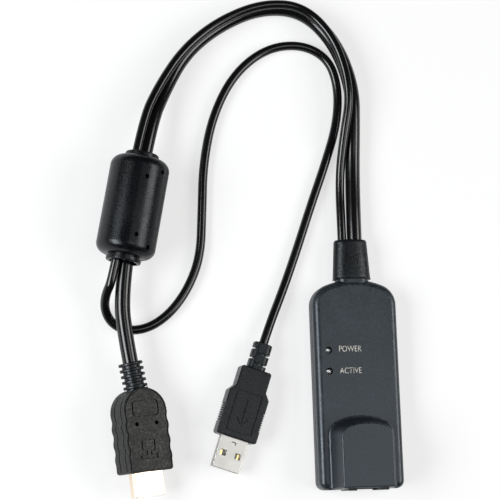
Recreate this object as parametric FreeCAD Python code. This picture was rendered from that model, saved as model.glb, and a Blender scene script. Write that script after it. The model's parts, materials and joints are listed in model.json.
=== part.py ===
import FreeCAD, Part
import math
import os

# Console adapter lead: a small housing with a network jack at one end and, at the other, a video
# cable and a data cable that pass through one ferrite sleeve and end in two plugs.
# Millimetres. The housing lies along Y, jack towards -Y, base on z = 0, origin under its middle.

Vector = FreeCAD.Vector
X_AXIS, Y_AXIS, Z_AXIS = Vector(1, 0, 0), Vector(0, 1, 0), Vector(0, 0, 1)

# Cables and network port, which the housing is built round
video_diameter = 6.4
data_diameter = 3.8
port_width = 11.9
port_height = 7.0
jack_length = 21.3
jack_proud = 0.5            # how far the jack stands out of the end wall
port_depth = jack_length - 7.3  # leaves room for the contacts' carrier
jack_side = 2.65            # jack wall beside the port
jack_width = port_width + 2 * jack_side
jack_room = 4.4             # from the jack's side to the hood's foot
wall = 1.6

# Cable boot, waist and flange, tallest at the video cable
waist_skin = 0.5
waist_height = video_diameter + 2 * waist_skin
flange_height = waist_height - waist_skin
flange_room = 0.15          # above and below the flange inside the housing

# Housing shells
hood_foot_width = jack_width + 2 * jack_room
body_width = hood_foot_width + 10.1
body_end = -52.15           # y of the flat end that holds the jack
body_crown = 35.45          # y of the crown at the cable end
body_height = flange_height + 2 * (wall + flange_room)
parting = body_height / 2   # height of the joint between the two shells
shoulder_radius = 9.0
crown_radius = 33.0
end_corner_radius = 3.3
top_edge_radius = 2.8
base_edge_radius = 0.9
inner_edge_radius = 1.0
lip_height = 1.0
lip_thickness = 0.75
fit_gap = 0.1               # between moulded pieces that locate in each other
seam_chamfer = 0.25

# Hood over the jack
hood_height = 21.5          # top of the hood above the base
hood_top_width = hood_foot_width - 4.2
hood_foot_crown = -22.9
hood_top_crown = -25.2
hood_crown_radius = 24.0
hood_corner_radius = 5.0
hood_end_lean = 0.6         # how far the hood's end wall leans back at the top
hood_foot_radius = 1.5
hood_edge_radius = 0.8
hood_corner_edge = 0.7      # rounding round the hood's leaning front

# Neck for the cable boot
neck_width = 14.0
neck_skin = 1.1
neck_height = waist_height + 2 * neck_skin
neck_corner = 4.2
neck_gap = 0.25             # between the neck's rim and the boot

# Cable boot
boot_length = 16.8
boot_base_width = 16.2
boot_base_height = neck_height + 0.6
boot_tip_width = 14.1
boot_tip_height = neck_height - 0.2
boot_corner = 4.4
boot_edge_radius = 0.7
waist_width = 12.2
waist_corner = 3.4
flange_width = 15.0
flange_thickness = 2.0
flange_inset = 1.1          # from the inside of the crown to the flange

# Cables in the housing
video_exit_x = 1.9
data_exit_x = -3.4
cable_height = parting      # height of both cables in the boot
cable_clearance = 0.15
jacket_end = body_crown - 6.45  # y where both jackets end inside the housing

# Circuit board and its supports
board_bottom = parting - 1.0
board_thickness = 1.6
board_top = board_bottom + board_thickness
board_clearance = 0.6
board_crown_edge = body_crown - 15.45
board_room = body_height - wall - board_top     # height over the board
post_radius = 2.2
post_x = body_width / 2 - 8.5
post_places = [(side * post_x, y) for y in (body_end + 23.15, board_crown_edge - 6.0) for side in (-1, 1)]

board_run = board_crown_edge - (body_end - jack_proud + jack_length)   # free length behind the jack

# Pieces on the board: x, distance from the board's crown edge, width, length, height
main_chip_size = (3.5, 0.624 * board_run, 10.0, 10.0, 0.4 * board_room)
memory_chip_size = (4.5, 0.312 * board_run, 7.5, 9.0, 0.37 * board_room)
regulator_size = (-6.0, 0.205 * board_run, 4.0, 5.0, 0.5 * board_room)
transformer_size = (0.0, 0.875 * board_run, 9.0, 8.0, 0.8 * board_room)
crystal_size = (-7.5, 0.624 * board_run, 4.0, 10.0, 0.73 * board_room)
capacitor_radius = 2.0
capacitor_height = 0.85 * board_room
capacitor_x = -5.0
corner_capacitor_x = body_width / 2 - 7.0
capacitor_places = [(capacitor_x, 0.36 * board_run), (capacitor_x, 0.48 * board_run),
                    (corner_capacitor_x, 0.175 * board_run)]
header_height = 0.9 * board_room
header_depth = 4.0
header_setback = 0.5
header_slot = 0.3
video_header_x = 4.6
video_header_width = 12.4
video_wire_count = 5
video_wire_pitch = 2.2
video_wire_radius = 0.45
data_header_x = -7.6
data_header_width = 8.0
data_wire_count = 4
data_wire_pitch = 1.6
data_wire_radius = 0.35
wire_rise = 0.43 * board_room
chip_stand = 0.15
chip_lead_width = 0.3
chip_lead_reach = 0.8
chip_lead_thickness = 0.2

# Screws that hold the two shells, driven from below
screw_rows = [(body_width / 2 - 4.8, body_end + 7.65), (body_width / 2 - 5.4, body_crown - 11.95)]
screw_places = [(side * x, y) for x, y in screw_rows for side in (-1, 1)]
screw_head_radius = 2.0
screw_head_height = 1.3
screw_shank_radius = 0.95
screw_length = 7.0
screw_sink = 0.4            # screw head below the base
screw_gap = 0.08
boss_radius = 2.6
boss_foot = parting - 1.9   # height where the two halves of a boss meet
slot_length = 2.2
slot_width = 0.5
slot_depth = 0.6

# Lamps
lamp_x = 5.7 - body_width / 2
lamp_places = {"power_lamp": body_crown - 29.95, "active_lamp": body_crown - 38.7}
lamp_hole_radius = 1.5
lamp_radius = 1.38
lamp_flange_radius = 1.7
lamp_flange_height = 0.6
lamp_recess = 0.75

# Network jack
jack_cover = wall + 0.8     # from the top of the jack to the top of the hood
jack_height = hood_height - jack_cover - board_top
jack_gap = 0.15
port_floor = 1.3
latch_width = 6.4
latch_height = 2.3
latch_tip_width = 3.4
latch_tip_height = 1.3
notch_width = 9.7
notch_reach = 0.7           # how far the front's middle stands back
jack_contact_count = 8
jack_contact_pitch = 1.02
jack_contact_width = 0.45
jack_contact_thickness = 0.3
carrier_length = 4.0

# Ferrite sleeve
ferrite_radius = 12.3
ferrite_place = Vector(-93.3, 65.5, ferrite_radius)
ferrite_heading = -11.1
ferrite_length = 41.6
ferrite_end_radius = 4.3
collar_top_radius = 7.0
collar_top_length = 2.2
collar_bottom_radius = 7.3
collar_bottom_length = 2.5
collar_groove_radius = 6.4
collar_groove_length = 0.9
ferrite_bore_radius = (video_diameter + data_diameter) / 2 + 0.6
core_radius = 9.2
core_length = 30.0
core_gap = 0.1
pin_radius = 0.95
pin_places = [(13.0, 11.3), (12.0, -13.2), (47.0, 15.0), (43.0, -17.0)]

# Video plug
video_plug_place = Vector(-89.9, -42.7, 9.3)
video_plug_heading = 5.5
video_plug_roll = 22.0
video_grip_width = 20.2
video_grip_length = 33.7
video_grip_thickness = 12.2
video_wave_depth = 0.5
video_wave_pitch = 6.2
video_wave_count = 3
video_wave_start = 4.2
video_grip_corner = 1.2
video_grip_edge = 0.5
video_groove_heights = [-2.0, 3.4]
video_groove_width = 0.6
video_groove_depth = 0.5
video_pin_offset = 4.5
video_pin_y = 19.2
video_pin_radius = 0.85
video_pin_depth = 3.0
plate_width = 11.6
plate_height = 6.4
plate_y = 25.4
plate_corner = 1.6
engraved_width = 0.35
engraved_depth = 0.25
video_relief_length = 11.0
video_relief_core = video_diameter / 2 + 0.6
video_ring_radius = video_relief_core + 1.2
video_relief_turn = 6.5     # how far the relief points away from the grip's own line
video_ring_count = 5
video_ring_pitch = 2.35
video_ring_thickness = 1.3
ring_chamfer = 0.3
relief_pocket = 2.0         # how far each relief reaches into its grip
video_shell_width = 14.0
video_shell_height = 4.5
video_shell_chamfer = 1.0
video_shell_wall = 0.35
video_shell_exposed = 9.8
shell_embedded = 5.0
video_tongue_back = 2.0     # insulator's front face in front of the grip
video_contact_count = 10
video_contact_pitch = 1.0
video_contact_width = 0.45
video_contact_thickness = 0.25
video_contact_length = 6.0
video_contact_level = 1.2

# Data plug
data_plug_place = Vector(-52.5, -30.0, 4.75)
data_plug_heading = -19.0
data_plug_roll = 3.0
data_grip_width = 17.3
data_grip_neck_width = 13.1
data_grip_length = 29.9
data_grip_thickness = 8.4
data_flare_low = 18.6
data_flare_high = 21.4
data_grip_corner = 1.1
data_grip_edge = 0.5
data_rib_count = 8
data_rib_pitch = 1.0
data_rib_start = 5.6
data_rib_width = 0.5
data_rib_depth = 0.5
frame_width = 10.8
frame_height = 17.0
frame_y = 10.9
frame_corner = 0.6
data_relief_width = data_diameter + 4.0
data_relief_height = data_diameter + 3.0
data_relief_length = 11.3
data_relief_corner = 2.4
relief_slot_width = 1.1
relief_slot_depth = 1.7
relief_slot_pitch = 2.1
relief_slot_count = 4
data_shell_width = 12.0
data_shell_height = 4.5
data_shell_corner = 0.45
data_shell_wall = 0.3
data_shell_exposed = 13.2
window_size = 2.5
window_offset = 3.15
window_y = -6.8
data_tongue_width = 11.0
data_tongue_height = 1.8
data_tongue_recess = 1.0
data_contact_count = 4
data_contact_pitch = 2.5
data_contact_width = 1.0
data_contact_height = 0.2
data_contact_length = 8.5

# Routes of the two cables, points chosen by hand; each tube's arcs lie inside them
video_route = [
    (video_exit_x, jacket_end, cable_height), (video_exit_x, 56.0, cable_height), (2.8, 83.0, 3.5),
    (3.5, 102.0, 5.0), (4.1, 120.6, 5.4), (-2.7, 141.2, 4.4), (-16.4, 155.6, 3.4),
    (-35.3, 156.5, 3.3), (-54.5, 147.6, 3.3), (-69.2, 134.8, 3.4), (-78.6, 117.6, 5.6),
    (-85.68, 100.69, 10.4), (-99.16, 32.0, 10.4), (-96.53, 7.49, 10.02), (-92.77, -10.92, 9.22),
]
data_route = [
    (data_exit_x, jacket_end, cable_height), (data_exit_x, 56.0, cable_height), (-3.1, 80.0, 3.4),
    (-1.4, 98.0, 8.3), (1.9, 117.0, 11.1), (-3.6, 140.5, 10.2), (-16.8, 155.6, 8.9),
    (-35.1, 156.5, 8.8), (-54.8, 148.0, 8.7), (-70.0, 135.2, 9.0), (-81.2, 118.3, 11.8),
    (-89.21, 101.38, 14.3), (-102.11, 35.64, 14.3), (-104.8, 29.8, 8.8), (-105.0, 24.4, 4.1),
    (-102.3, 19.0, 2.0), (-96.5, 15.5, 2.0), (-87.1, 16.2, 2.0), (-77.8, 22.2, 2.0), (-69.6, 33.0, 2.0),
    (-64.1, 47.0, 2.0), (-63.0, 66.0, 2.0), (-61.9, 87.0, 2.0), (-57.2, 108.0, 2.0), (-47.5, 126.5, 2.0),
    (-33.2, 138.2, 2.0), (-17.5, 140.6, 2.0), (-5.5, 134.5, 2.0), (-1.4, 121.5, 2.0),
    (-2.7, 105.0, 2.0), (-8.7, 87.0, 2.0), (-15.8, 68.5, 2.0), (-22.2, 50.5, 2.0),
    (-28.9, 33.0, 2.2), (-37.17, 14.53, 4.75), (-43.38, -3.53, 4.75),
]


def box(x0, x1, y0, y1, z0, z1):
    return Part.makeBox(x1 - x0, y1 - y0, z1 - z0, Vector(x0, y0, z0))


def cylinder(radius, start, axis, length):
    return Part.makeCylinder(radius, length, start, axis)


def line(a, b):
    return Part.LineSegment(a, b).toShape()


def arc(centre, radius, angle_from, angle_to):
    """An arc in plan about centre, angles in degrees."""
    points = []
    for angle in (angle_from, (angle_from + angle_to) / 2, angle_to):
        turn = math.radians(angle)
        points.append(centre + Vector(math.cos(turn), math.sin(turn), 0) * radius)
    return Part.Arc(*points).toShape()


def mirrored(edges):
    return [edge.mirror(Vector(0, 0, 0), X_AXIS) for edge in edges]


def closed_face(edges):
    return Part.Face(Part.Wire(Part.__sortEdges__(edges)))


def crowned_face(half_width, end, crown, crown_curve, shoulder, corner, z):
    """A plan outline with a square end and a crowned end: lines, shoulder arcs and a crown arc."""
    crown_centre = Vector(0, crown - crown_curve, z)
    shoulder_x = half_width - shoulder
    rise = math.sqrt((crown_curve - shoulder) ** 2 - shoulder_x ** 2)
    shoulder_centre = crown_centre + Vector(shoulder_x, rise, 0)
    lean = math.degrees(math.atan2(rise, shoulder_x))
    right = [
        arc(shoulder_centre, shoulder, 0, lean),
        line(Vector(half_width, end + corner, z), shoulder_centre + Vector(shoulder, 0, 0)),
    ]
    if corner > 0:
        right.append(arc(Vector(half_width - corner, end + corner, z), corner, -90, 0))
    edges = right + mirrored(right)
    edges.append(arc(crown_centre, crown_curve, 180 - lean, lean))
    edges.append(line(Vector(corner - half_width, end, z), Vector(half_width - corner, end, z)))
    return closed_face(edges)


def body_prism(inset, z0, z1):
    """The housing's plan, moved inwards by inset and raised from z0 to z1."""
    corner = max(end_corner_radius - inset, 0.8)
    face = crowned_face(body_width / 2 - inset, body_end + inset, body_crown - inset,
                        crown_radius - inset, shoulder_radius - inset, corner, z0)
    return face.extrude(Vector(0, 0, z1 - z0))


def edges_at_height(shape, z):
    return [e for e in shape.Edges if abs(e.BoundBox.ZMin - z) < 1e-4 and abs(e.BoundBox.ZMax - z) < 1e-4]


def rounded_section(width, height, corner, y, z):
    """A rounded rectangle standing across Y."""
    corner = min(corner, width / 2 - 0.05, height / 2 - 0.05)
    shape = Part.makePlane(width, height, Vector(-width / 2, 0, -height / 2))
    half_w, half_h = width / 2 - corner, height / 2 - corner
    edges = []
    for x, v, start in ((half_w, half_h, 0), (-half_w, half_h, 90), (-half_w, -half_h, 180), (half_w, -half_h, 270)):
        edges.append(arc(Vector(x, v, 0), corner, start, start + 90))
    if half_w > 0:
        edges += [line(Vector(-half_w, s * height / 2, 0), Vector(half_w, s * height / 2, 0)) for s in (1, -1)]
    if half_h > 0:
        edges += [line(Vector(s * width / 2, -half_h, 0), Vector(s * width / 2, half_h, 0)) for s in (1, -1)]
    wire = Part.Wire(Part.__sortEdges__(edges))
    wire.rotate(Vector(0, 0, 0), X_AXIS, 90)
    wire.translate(Vector(0, y, z))
    return wire


def rounded_bar(width, height, corner, y0, y1, z):
    return Part.Face(rounded_section(width, height, corner, y0, z)).extrude(Vector(0, y1 - y0, 0))


def cable_bores(y0, y1):
    """Room for both cables where they run through the boot."""
    bores = [
        cylinder(diameter / 2 + cable_clearance, Vector(x, y0, cable_height), Y_AXIS, y1 - y0)
        for x, diameter in ((video_exit_x, video_diameter), (data_exit_x, data_diameter))
    ]
    return bores[0].fuse(bores[1])


def placed(shape, place, heading, roll=0.0):
    """Turns a piece made along Y about its own axis and about the vertical, then moves it."""
    result = shape.copy()
    result.rotate(Vector(0, 0, 0), Y_AXIS, roll)
    result.rotate(Vector(0, 0, 0), Z_AXIS, heading)
    result.translate(place)
    return result


def hood_face(inset, z, reach=0.0):
    """The hood's plan at height z, between its foot on the body and its top."""
    share = (z - body_height) / (hood_height - body_height)
    half_width = (hood_foot_width + share * (hood_top_width - hood_foot_width)) / 2 - inset
    crown = hood_foot_crown + share * (hood_top_crown - hood_foot_crown) - inset
    end = body_end + inset - reach
    return crowned_face(half_width, end, crown, hood_crown_radius - inset, hood_corner_radius - inset, 0, z)


def hood_solid(inset, z0, z1, reach=0.0):
    wires = [hood_face(inset, z, reach).OuterWire for z in (z0, z1)]
    return Part.makeLoft(wires, True, True)


def housing_outer():
    """The outer form of both shells: a crowned body, and the hood with its flared foot."""
    run_out = 12.0
    block = box(-body_width, body_width, body_end - run_out, body_crown, 0, body_height)
    raised = block.fuse(hood_solid(0, body_height - 1, hood_height, run_out)).removeSplitter()
    foot = [e for e in edges_at_height(raised, body_height)
            if e.BoundBox.XMax < body_width - 1 and e.BoundBox.XMin > 1 - body_width
            and e.BoundBox.YMin > body_end - run_out - 1e-3 and e.BoundBox.YMax < hood_foot_crown + 0.5
            and e.BoundBox.YMax - body_end + run_out > 1]
    raised = raised.makeFillet(hood_foot_radius, foot)
    rim = [e for e in edges_at_height(raised, hood_height) if e.BoundBox.YMax > body_end - run_out + 1]
    raised = raised.makeFillet(hood_edge_radius, rim)
    body = body_prism(0, 0, body_height)
    body = body.makeFillet(top_edge_radius, edges_at_height(body, body_height))
    body = body.makeFillet(base_edge_radius, edges_at_height(body, 0))
    flare = crowned_face(hood_foot_width / 2 + hood_foot_radius, body_end, hood_foot_crown + hood_foot_radius,
                         hood_crown_radius + hood_foot_radius, hood_corner_radius + hood_foot_radius, 0, parting)
    envelope = body.fuse(flare.extrude(Vector(0, 0, hood_height)))
    lean = math.degrees(math.atan2(hood_end_lean, hood_height - body_height))
    behind = box(-body_width, body_width, body_end - 3 * run_out, body_end, body_height, 2 * hood_height)
    behind.rotate(Vector(0, body_end, body_height), X_AXIS, -lean)
    shape = raised.common(envelope).cut(behind)
    slope = hood_end_lean / (hood_height - body_height)
    end_edges = []
    for edge in shape.Edges:
        on_end = [abs(v.Y - body_end - slope * (v.Z - body_height)) < 0.02 for v in edge.Vertexes]
        if all(on_end) and edge.BoundBox.ZMax > body_height + 0.05:
            end_edges.append(edge)
    shape = shape.makeFillet(hood_corner_edge, end_edges)
    neck = rounded_bar(neck_width, neck_height, neck_corner, body_crown - 2 * wall - top_edge_radius,
                       body_crown + neck_reach - neck_gap, cable_height)
    return shape.fuse(neck).removeSplitter()


neck_reach = 0.4
boot_base = body_crown + neck_reach
boot_tip = boot_base + boot_length
flange_face = body_crown - wall - flange_inset
jack_front = body_end - jack_proud
jack_top = board_top + jack_height
sill_height = board_top - 0.1


def housing_cavity():
    """The room inside both shells, under the flat top and under the hood."""
    room = body_prism(wall, wall, body_height - wall)
    room = room.makeFillet(inner_edge_radius, edges_at_height(room, body_height - wall))
    hood_room = hood_solid(wall, body_height - 2 * wall, hood_height - wall)
    return room.fuse(hood_room)


def jack_window():
    half = jack_width / 2 + jack_gap
    return box(-half, half, jack_front - 1, body_end + 2 * wall, parting - 1, jack_top + jack_gap)


def waist_bore():
    return rounded_bar(waist_width + 2 * fit_gap, waist_height + 2 * fit_gap, waist_corner,
                       flange_face, boot_base + 1, cable_height)


def seam_cut():
    """A shallow groove round the joint of the two shells."""
    low, high = parting - seam_chamfer, parting + seam_chamfer
    ring = body_prism(-1, low, high).cut(body_prism(seam_chamfer, low, high))
    return ring.cut(box(-neck_width / 2 - 1, neck_width / 2 + 1, body_crown - 3, body_crown + 3, 0, body_height))


def bottom_cover():
    shape = housing_outer().cut(box(-body_width, body_width, 2 * body_end, 2 * body_crown, parting, 2 * hood_height))
    shape = shape.cut(housing_cavity())
    lip_inset = wall - lip_thickness
    lip = body_prism(lip_inset, parting, parting + lip_height).cut(body_prism(wall, parting, parting + lip_height))
    half = jack_width / 2 + 2 * jack_gap
    lip = lip.cut(box(-half, half, body_end, body_end + 3 * wall, parting, parting + lip_height))
    lip = lip.cut(box(-neck_width / 2 - 1, neck_width / 2 + 1, body_crown - 3 * wall, body_crown, parting,
                      parting + lip_height))
    shape = shape.fuse(lip)
    sill = box(-jack_width / 2, jack_width / 2, body_end + 0.3, body_end + wall, parting, sill_height)
    shape = shape.fuse(sill)
    posts = [cylinder(post_radius, Vector(x, y, wall / 2), Z_AXIS, board_bottom - wall / 2) for x, y in post_places]
    bosses = [cylinder(boss_radius + 0.4, Vector(x, y, wall / 2), Z_AXIS, boss_foot - wall / 2)
              for x, y in screw_places]
    shape = shape.multiFuse(posts + [boss.common(body_prism(wall / 2, 0, parting)) for boss in bosses])
    for x, y in screw_places:
        head_room = screw_sink + screw_head_height
        shape = shape.cut(cylinder(screw_head_radius + fit_gap, Vector(x, y, 0), Z_AXIS, head_room))
        shape = shape.cut(cylinder(screw_shank_radius + screw_gap, Vector(x, y, 0), Z_AXIS, boss_foot))
    return shape.cut(waist_bore()).cut(seam_cut()).removeSplitter()


def top_cover():
    shape = housing_outer().cut(box(-body_width, body_width, 2 * body_end, 2 * body_crown, 0, parting))
    shape = shape.cut(housing_cavity())
    rebate_inset = wall - lip_thickness - fit_gap
    rebate = body_prism(rebate_inset, parting, parting + lip_height + fit_gap)
    rebate = rebate.cut(box(-neck_width / 2 - 1, neck_width / 2 + 1, body_crown - 2 * wall, body_crown, 0,
                            body_height))
    shape = shape.cut(rebate)
    pillars = [cylinder(boss_radius, Vector(x, y, boss_foot), Z_AXIS, body_height - wall / 2 - boss_foot)
               for x, y in screw_places]
    inside = body_prism(rebate_inset + fit_gap + lip_thickness + fit_gap, 0, parting + lip_height + 2 * fit_gap)
    inside = inside.fuse(body_prism(wall / 2, parting + lip_height + 2 * fit_gap, body_height - wall / 2))
    shape = shape.multiFuse([pillar.common(inside) for pillar in pillars])
    for x, y in screw_places:
        pilot = screw_sink + screw_length + 0.4
        shape = shape.cut(cylinder(screw_shank_radius + screw_gap, Vector(x, y, 0), Z_AXIS, pilot))
    for y in lamp_places.values():
        shape = shape.cut(cylinder(lamp_hole_radius, Vector(lamp_x, y, parting), Z_AXIS, body_height))
    return shape.cut(jack_window()).cut(waist_bore()).cut(seam_cut()).removeSplitter()


def case_screws():
    screws = []
    for x, y in screw_places:
        head = cylinder(screw_head_radius, Vector(x, y, screw_sink), Z_AXIS, screw_head_height)
        shank = cylinder(screw_shank_radius, Vector(x, y, screw_sink), Z_AXIS, screw_length)
        screw = head.fuse(shank)
        for long_x, long_y in ((slot_length, slot_width), (slot_width, slot_length)):
            screw = screw.cut(box(x - long_x / 2, x + long_x / 2, y - long_y / 2, y + long_y / 2,
                                  screw_sink - 1, screw_sink + slot_depth))
        screws.append(screw)
    return Part.makeCompound(screws)


def cable_boot():
    """Tapered rubber boot, with a waist in the neck and a flange inside the housing."""
    base = rounded_section(boot_base_width, boot_base_height, boot_corner, boot_base, cable_height)
    tip = rounded_section(boot_tip_width, boot_tip_height, boot_corner, boot_tip, cable_height)
    sleeve = Part.makeLoft([base, tip], True, True)
    rim = [e for e in sleeve.Edges if e.BoundBox.YMin > boot_tip - 0.01]
    sleeve = sleeve.makeFillet(boot_edge_radius, rim)
    waist = rounded_bar(waist_width, waist_height, waist_corner, flange_face, boot_base + 0.5, cable_height)
    flange = rounded_bar(flange_width, flange_height, waist_corner, flange_face - flange_thickness, flange_face,
                         cable_height)
    shape = sleeve.fuse(waist).fuse(flange)
    return shape.cut(cable_bores(flange_face - flange_thickness - 1, boot_tip + 1)).removeSplitter()


def circuit_board():
    inset = wall + board_clearance
    shape = body_prism(inset, board_bottom, board_top)
    shape = shape.common(box(-body_width, body_width, body_end, board_crown_edge, 0, body_height))
    for x, y in screw_places:
        shape = shape.cut(cylinder(boss_radius + board_clearance, Vector(x, y, 0), Z_AXIS, body_height))
        reach = math.copysign(body_width, x)
        low_x, high_x = sorted((x, x + reach))
        shape = shape.cut(box(low_x, high_x, y - boss_radius - board_clearance, y + boss_radius + board_clearance,
                              0, body_height))
    return shape


def leaded_chip(size, lead_count, lead_pitch):
    """A chip with a row of short leads on its two long sides, standing on the board."""
    x, setback, width, length, height = size
    y = board_crown_edge - setback
    body = box(x - width / 2, x + width / 2, y - length / 2, y + length / 2, board_top + chip_stand,
               board_top + height)
    body = body.makeChamfer(chip_stand, edges_at_height(body, board_top + height))
    leads = []
    for side in (-1, 1):
        for index in range(lead_count):
            lead_y = y + (index - (lead_count - 1) / 2) * lead_pitch
            x0, x1 = sorted((x + side * (width / 2 - fit_gap), x + side * (width / 2 + chip_lead_reach)))
            leads.append(box(x0, x1, lead_y - chip_lead_width / 2, lead_y + chip_lead_width / 2, board_top,
                             board_top + chip_stand + chip_lead_thickness))
    return body.multiFuse(leads).removeSplitter()


def lamp(y):
    """A round lamp with a flange at its foot and a domed top below the cover's face."""
    top = body_height - lamp_recess
    foot = Vector(lamp_x, y, board_top)
    stem = cylinder(lamp_radius, foot, Z_AXIS, top - lamp_radius - board_top)
    dome = Part.makeSphere(lamp_radius, Vector(lamp_x, y, top - lamp_radius))
    flange = cylinder(lamp_flange_radius, foot, Z_AXIS, lamp_flange_height)
    return stem.fuse(dome).fuse(flange).removeSplitter()


def header(x, width, wire_places):
    """A low connector on the board that the wires of one cable go into."""
    front = board_crown_edge - header_setback
    back = front - header_depth
    shape = box(x - width / 2, x + width / 2, back, front, board_top, board_top + header_height)
    for place in wire_places:
        shape = shape.cut(box(place - header_slot, place + header_slot, back - 1, back + header_depth / 3, board_top,
                              board_top + header_height))
    return shape


def cable_wires(cable_x, count, radius, jacket_pitch, header_x, header_pitch):
    """Bare wires from the end of a jacket to the face of its header."""
    start_z, end_z = cable_height, board_top + wire_rise
    wires = []
    for index in range(count):
        step = index - (count - 1) / 2
        ends = []
        for x, y, z in ((cable_x + step * jacket_pitch, jacket_end, start_z),
                        (header_x + step * header_pitch, board_crown_edge - header_setback, end_z)):
            ends.append(Part.Wire(Part.Circle(Vector(x, y, z), Y_AXIS, radius).toShape()))
        wires.append(Part.makeLoft(ends, True, True))
    return Part.makeCompound(wires)


def jack_housing():
    back = jack_front + jack_length
    half = jack_width / 2
    shape = box(-half, half, jack_front, back, board_top, jack_top)
    uprights = [e for e in shape.Edges if e.Length > jack_height - 0.01 and e.Length < jack_height + 0.01
                and e.BoundBox.ZLength > 1]
    shape = shape.makeFillet(0.5, uprights)
    port_z = board_top + port_floor
    cuts = [
        box(-port_width / 2, port_width / 2, jack_front - 1, jack_front + port_depth, port_z, port_z + port_height),
        box(-latch_width / 2, latch_width / 2, jack_front - 1, jack_front + port_depth, port_z + port_height,
            port_z + port_height + latch_height),
        box(-latch_tip_width / 2, latch_tip_width / 2, jack_front - 1, jack_front + port_depth * 0.6,
            port_z + port_height + latch_height, port_z + port_height + latch_height + latch_tip_height),
        box(-notch_width / 2, notch_width / 2, jack_front - 1, jack_front + notch_reach, 0, jack_top + 1),
        box(-port_width / 2, port_width / 2, back - carrier_length, back + 1, board_top - 1,
            port_z + port_height),
        contact_slots(),
    ]
    for cut in cuts:
        shape = shape.cut(cut)
    return shape.removeSplitter()


def contact_place(index):
    return (index - (jack_contact_count - 1) / 2) * jack_contact_pitch


def contact_slots():
    """Slots in the port's floor and back wall where the sprung wires pass."""
    back = jack_front + jack_length - carrier_length
    port_z = board_top + port_floor
    half = jack_contact_width / 2 + fit_gap
    slots = [box(contact_place(i) - half, contact_place(i) + half, jack_front + port_depth - 0.5, back + 0.1,
                 port_z + 1.2, port_z + 3.0) for i in range(jack_contact_count)]
    return Part.makeCompound(slots)


def jack_contacts():
    """Eight sprung wires, straight out of the carrier and bent down towards the port's mouth."""
    back = jack_front + jack_length - carrier_length
    port_z = board_top + port_floor
    top = port_z + 2.4
    bend = jack_front + port_depth - 2.0
    tip = jack_front + 4.5
    low = port_z + 0.2
    thick = jack_contact_thickness
    outline = [Vector(0, back, top), Vector(0, bend, top), Vector(0, tip, low), Vector(0, tip, low + thick),
               Vector(0, bend, top + thick), Vector(0, back, top + thick), Vector(0, back, top)]
    face = Part.Face(Part.makePolygon(outline))
    wires = []
    for index in range(jack_contact_count):
        wire = face.extrude(Vector(jack_contact_width, 0, 0))
        wire.translate(Vector(contact_place(index) - jack_contact_width / 2, 0, 0))
        wires.append(wire)
    return Part.makeCompound(wires)


def jack_carrier():
    back = jack_front + jack_length
    port_z = board_top + port_floor
    gap = fit_gap
    shape = box(-port_width / 2 + gap, port_width / 2 - gap, back - carrier_length, back - 0.2, board_top,
                port_z + port_height - gap)
    return shape.cut(box(-port_width / 2 + 1.5, port_width / 2 - 1.5, back - 1.2, back, port_z + 2,
                         port_z + port_height - 2))


def ferrite_cover():
    """Moulded sleeve: a barrel with rounded ends, a collar at each end and holes left by mould pins."""
    half = ferrite_length / 2
    barrel = cylinder(ferrite_radius, Vector(0, -half, 0), Y_AXIS, ferrite_length)
    rims = [e for e in barrel.Edges if e.Curve.TypeId == "Part::GeomCircle"]
    barrel = barrel.makeFillet(ferrite_end_radius, rims)
    top = cylinder(collar_top_radius, Vector(0, half - 1, 0), Y_AXIS, collar_top_length + 1)
    top = top.makeFillet(0.6, [e for e in top.Edges if e.BoundBox.YMin > half + collar_top_length - 0.01])
    groove = cylinder(collar_groove_radius, Vector(0, -half - collar_groove_length - 0.2, 0), Y_AXIS,
                      collar_groove_length + 1)
    bottom = cylinder(collar_bottom_radius, Vector(0, -half - collar_bottom_length, 0), Y_AXIS,
                      collar_bottom_length - collar_groove_length)
    bottom = bottom.makeFillet(0.6, [e for e in bottom.Edges if e.BoundBox.YMax < 0.01 - half - collar_bottom_length])
    shape = barrel.multiFuse([top, groove, bottom])
    reach = ferrite_length
    shape = shape.cut(cylinder(ferrite_bore_radius, Vector(0, -reach, 0), Y_AXIS, 2 * reach))
    pocket = core_length + 2 * core_gap
    shape = shape.cut(cylinder(core_radius + core_gap, Vector(0, -pocket / 2, 0), Y_AXIS, pocket))
    for angle, y in pin_places:
        pin = cylinder(pin_radius, Vector(0, y, core_radius - 0.5), Z_AXIS, ferrite_radius)
        pin.rotate(Vector(0, 0, 0), Y_AXIS, angle)
        shape = shape.cut(pin)
    return placed(shape.removeSplitter(), ferrite_place, ferrite_heading)


def ferrite_core():
    tube = cylinder(core_radius, Vector(0, -core_length / 2, 0), Y_AXIS, core_length)
    tube = tube.cut(cylinder(ferrite_bore_radius, Vector(0, -core_length, 0), Y_AXIS, 2 * core_length))
    return placed(tube, ferrite_place, ferrite_heading)


def wavy_face(z):
    """The video plug's plan: a round cable end and scalloped sides."""
    half = video_grip_width / 2
    shallow = half - video_wave_depth / 2
    wave_end = video_wave_start + video_wave_count * video_wave_pitch
    round_centre = Vector(0, video_grip_length - half, z)
    side = [
        arc(Vector(half - video_wave_depth / 2 - video_grip_corner, video_grip_corner, z), video_grip_corner, -90, 0),
        line(Vector(shallow, video_grip_corner, z), Vector(shallow, video_wave_start, z)),
    ]
    y = video_wave_start
    for index in range(2 * video_wave_count):
        peak = half if index % 2 == 0 else half - video_wave_depth
        step = video_wave_pitch / 2
        side.append(Part.Arc(Vector(shallow, y, z), Vector(peak, y + step / 2, z),
                             Vector(shallow, y + step, z)).toShape())
        y += step
    start = math.degrees(math.asin(max(-1, min(1, (wave_end - round_centre.y) / half))))
    meet = Vector(shallow, wave_end, z)
    turn = math.radians((90 + start) / 2)
    middle = round_centre + Vector(math.cos(turn), math.sin(turn), 0) * half
    side.append(Part.Arc(meet, middle, round_centre + Vector(0, half, 0)).toShape())
    edges = side + mirrored(side)
    flat = shallow - video_grip_corner
    edges.append(line(Vector(-flat, 0, z), Vector(flat, 0, z)))
    return closed_face(edges)


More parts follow.
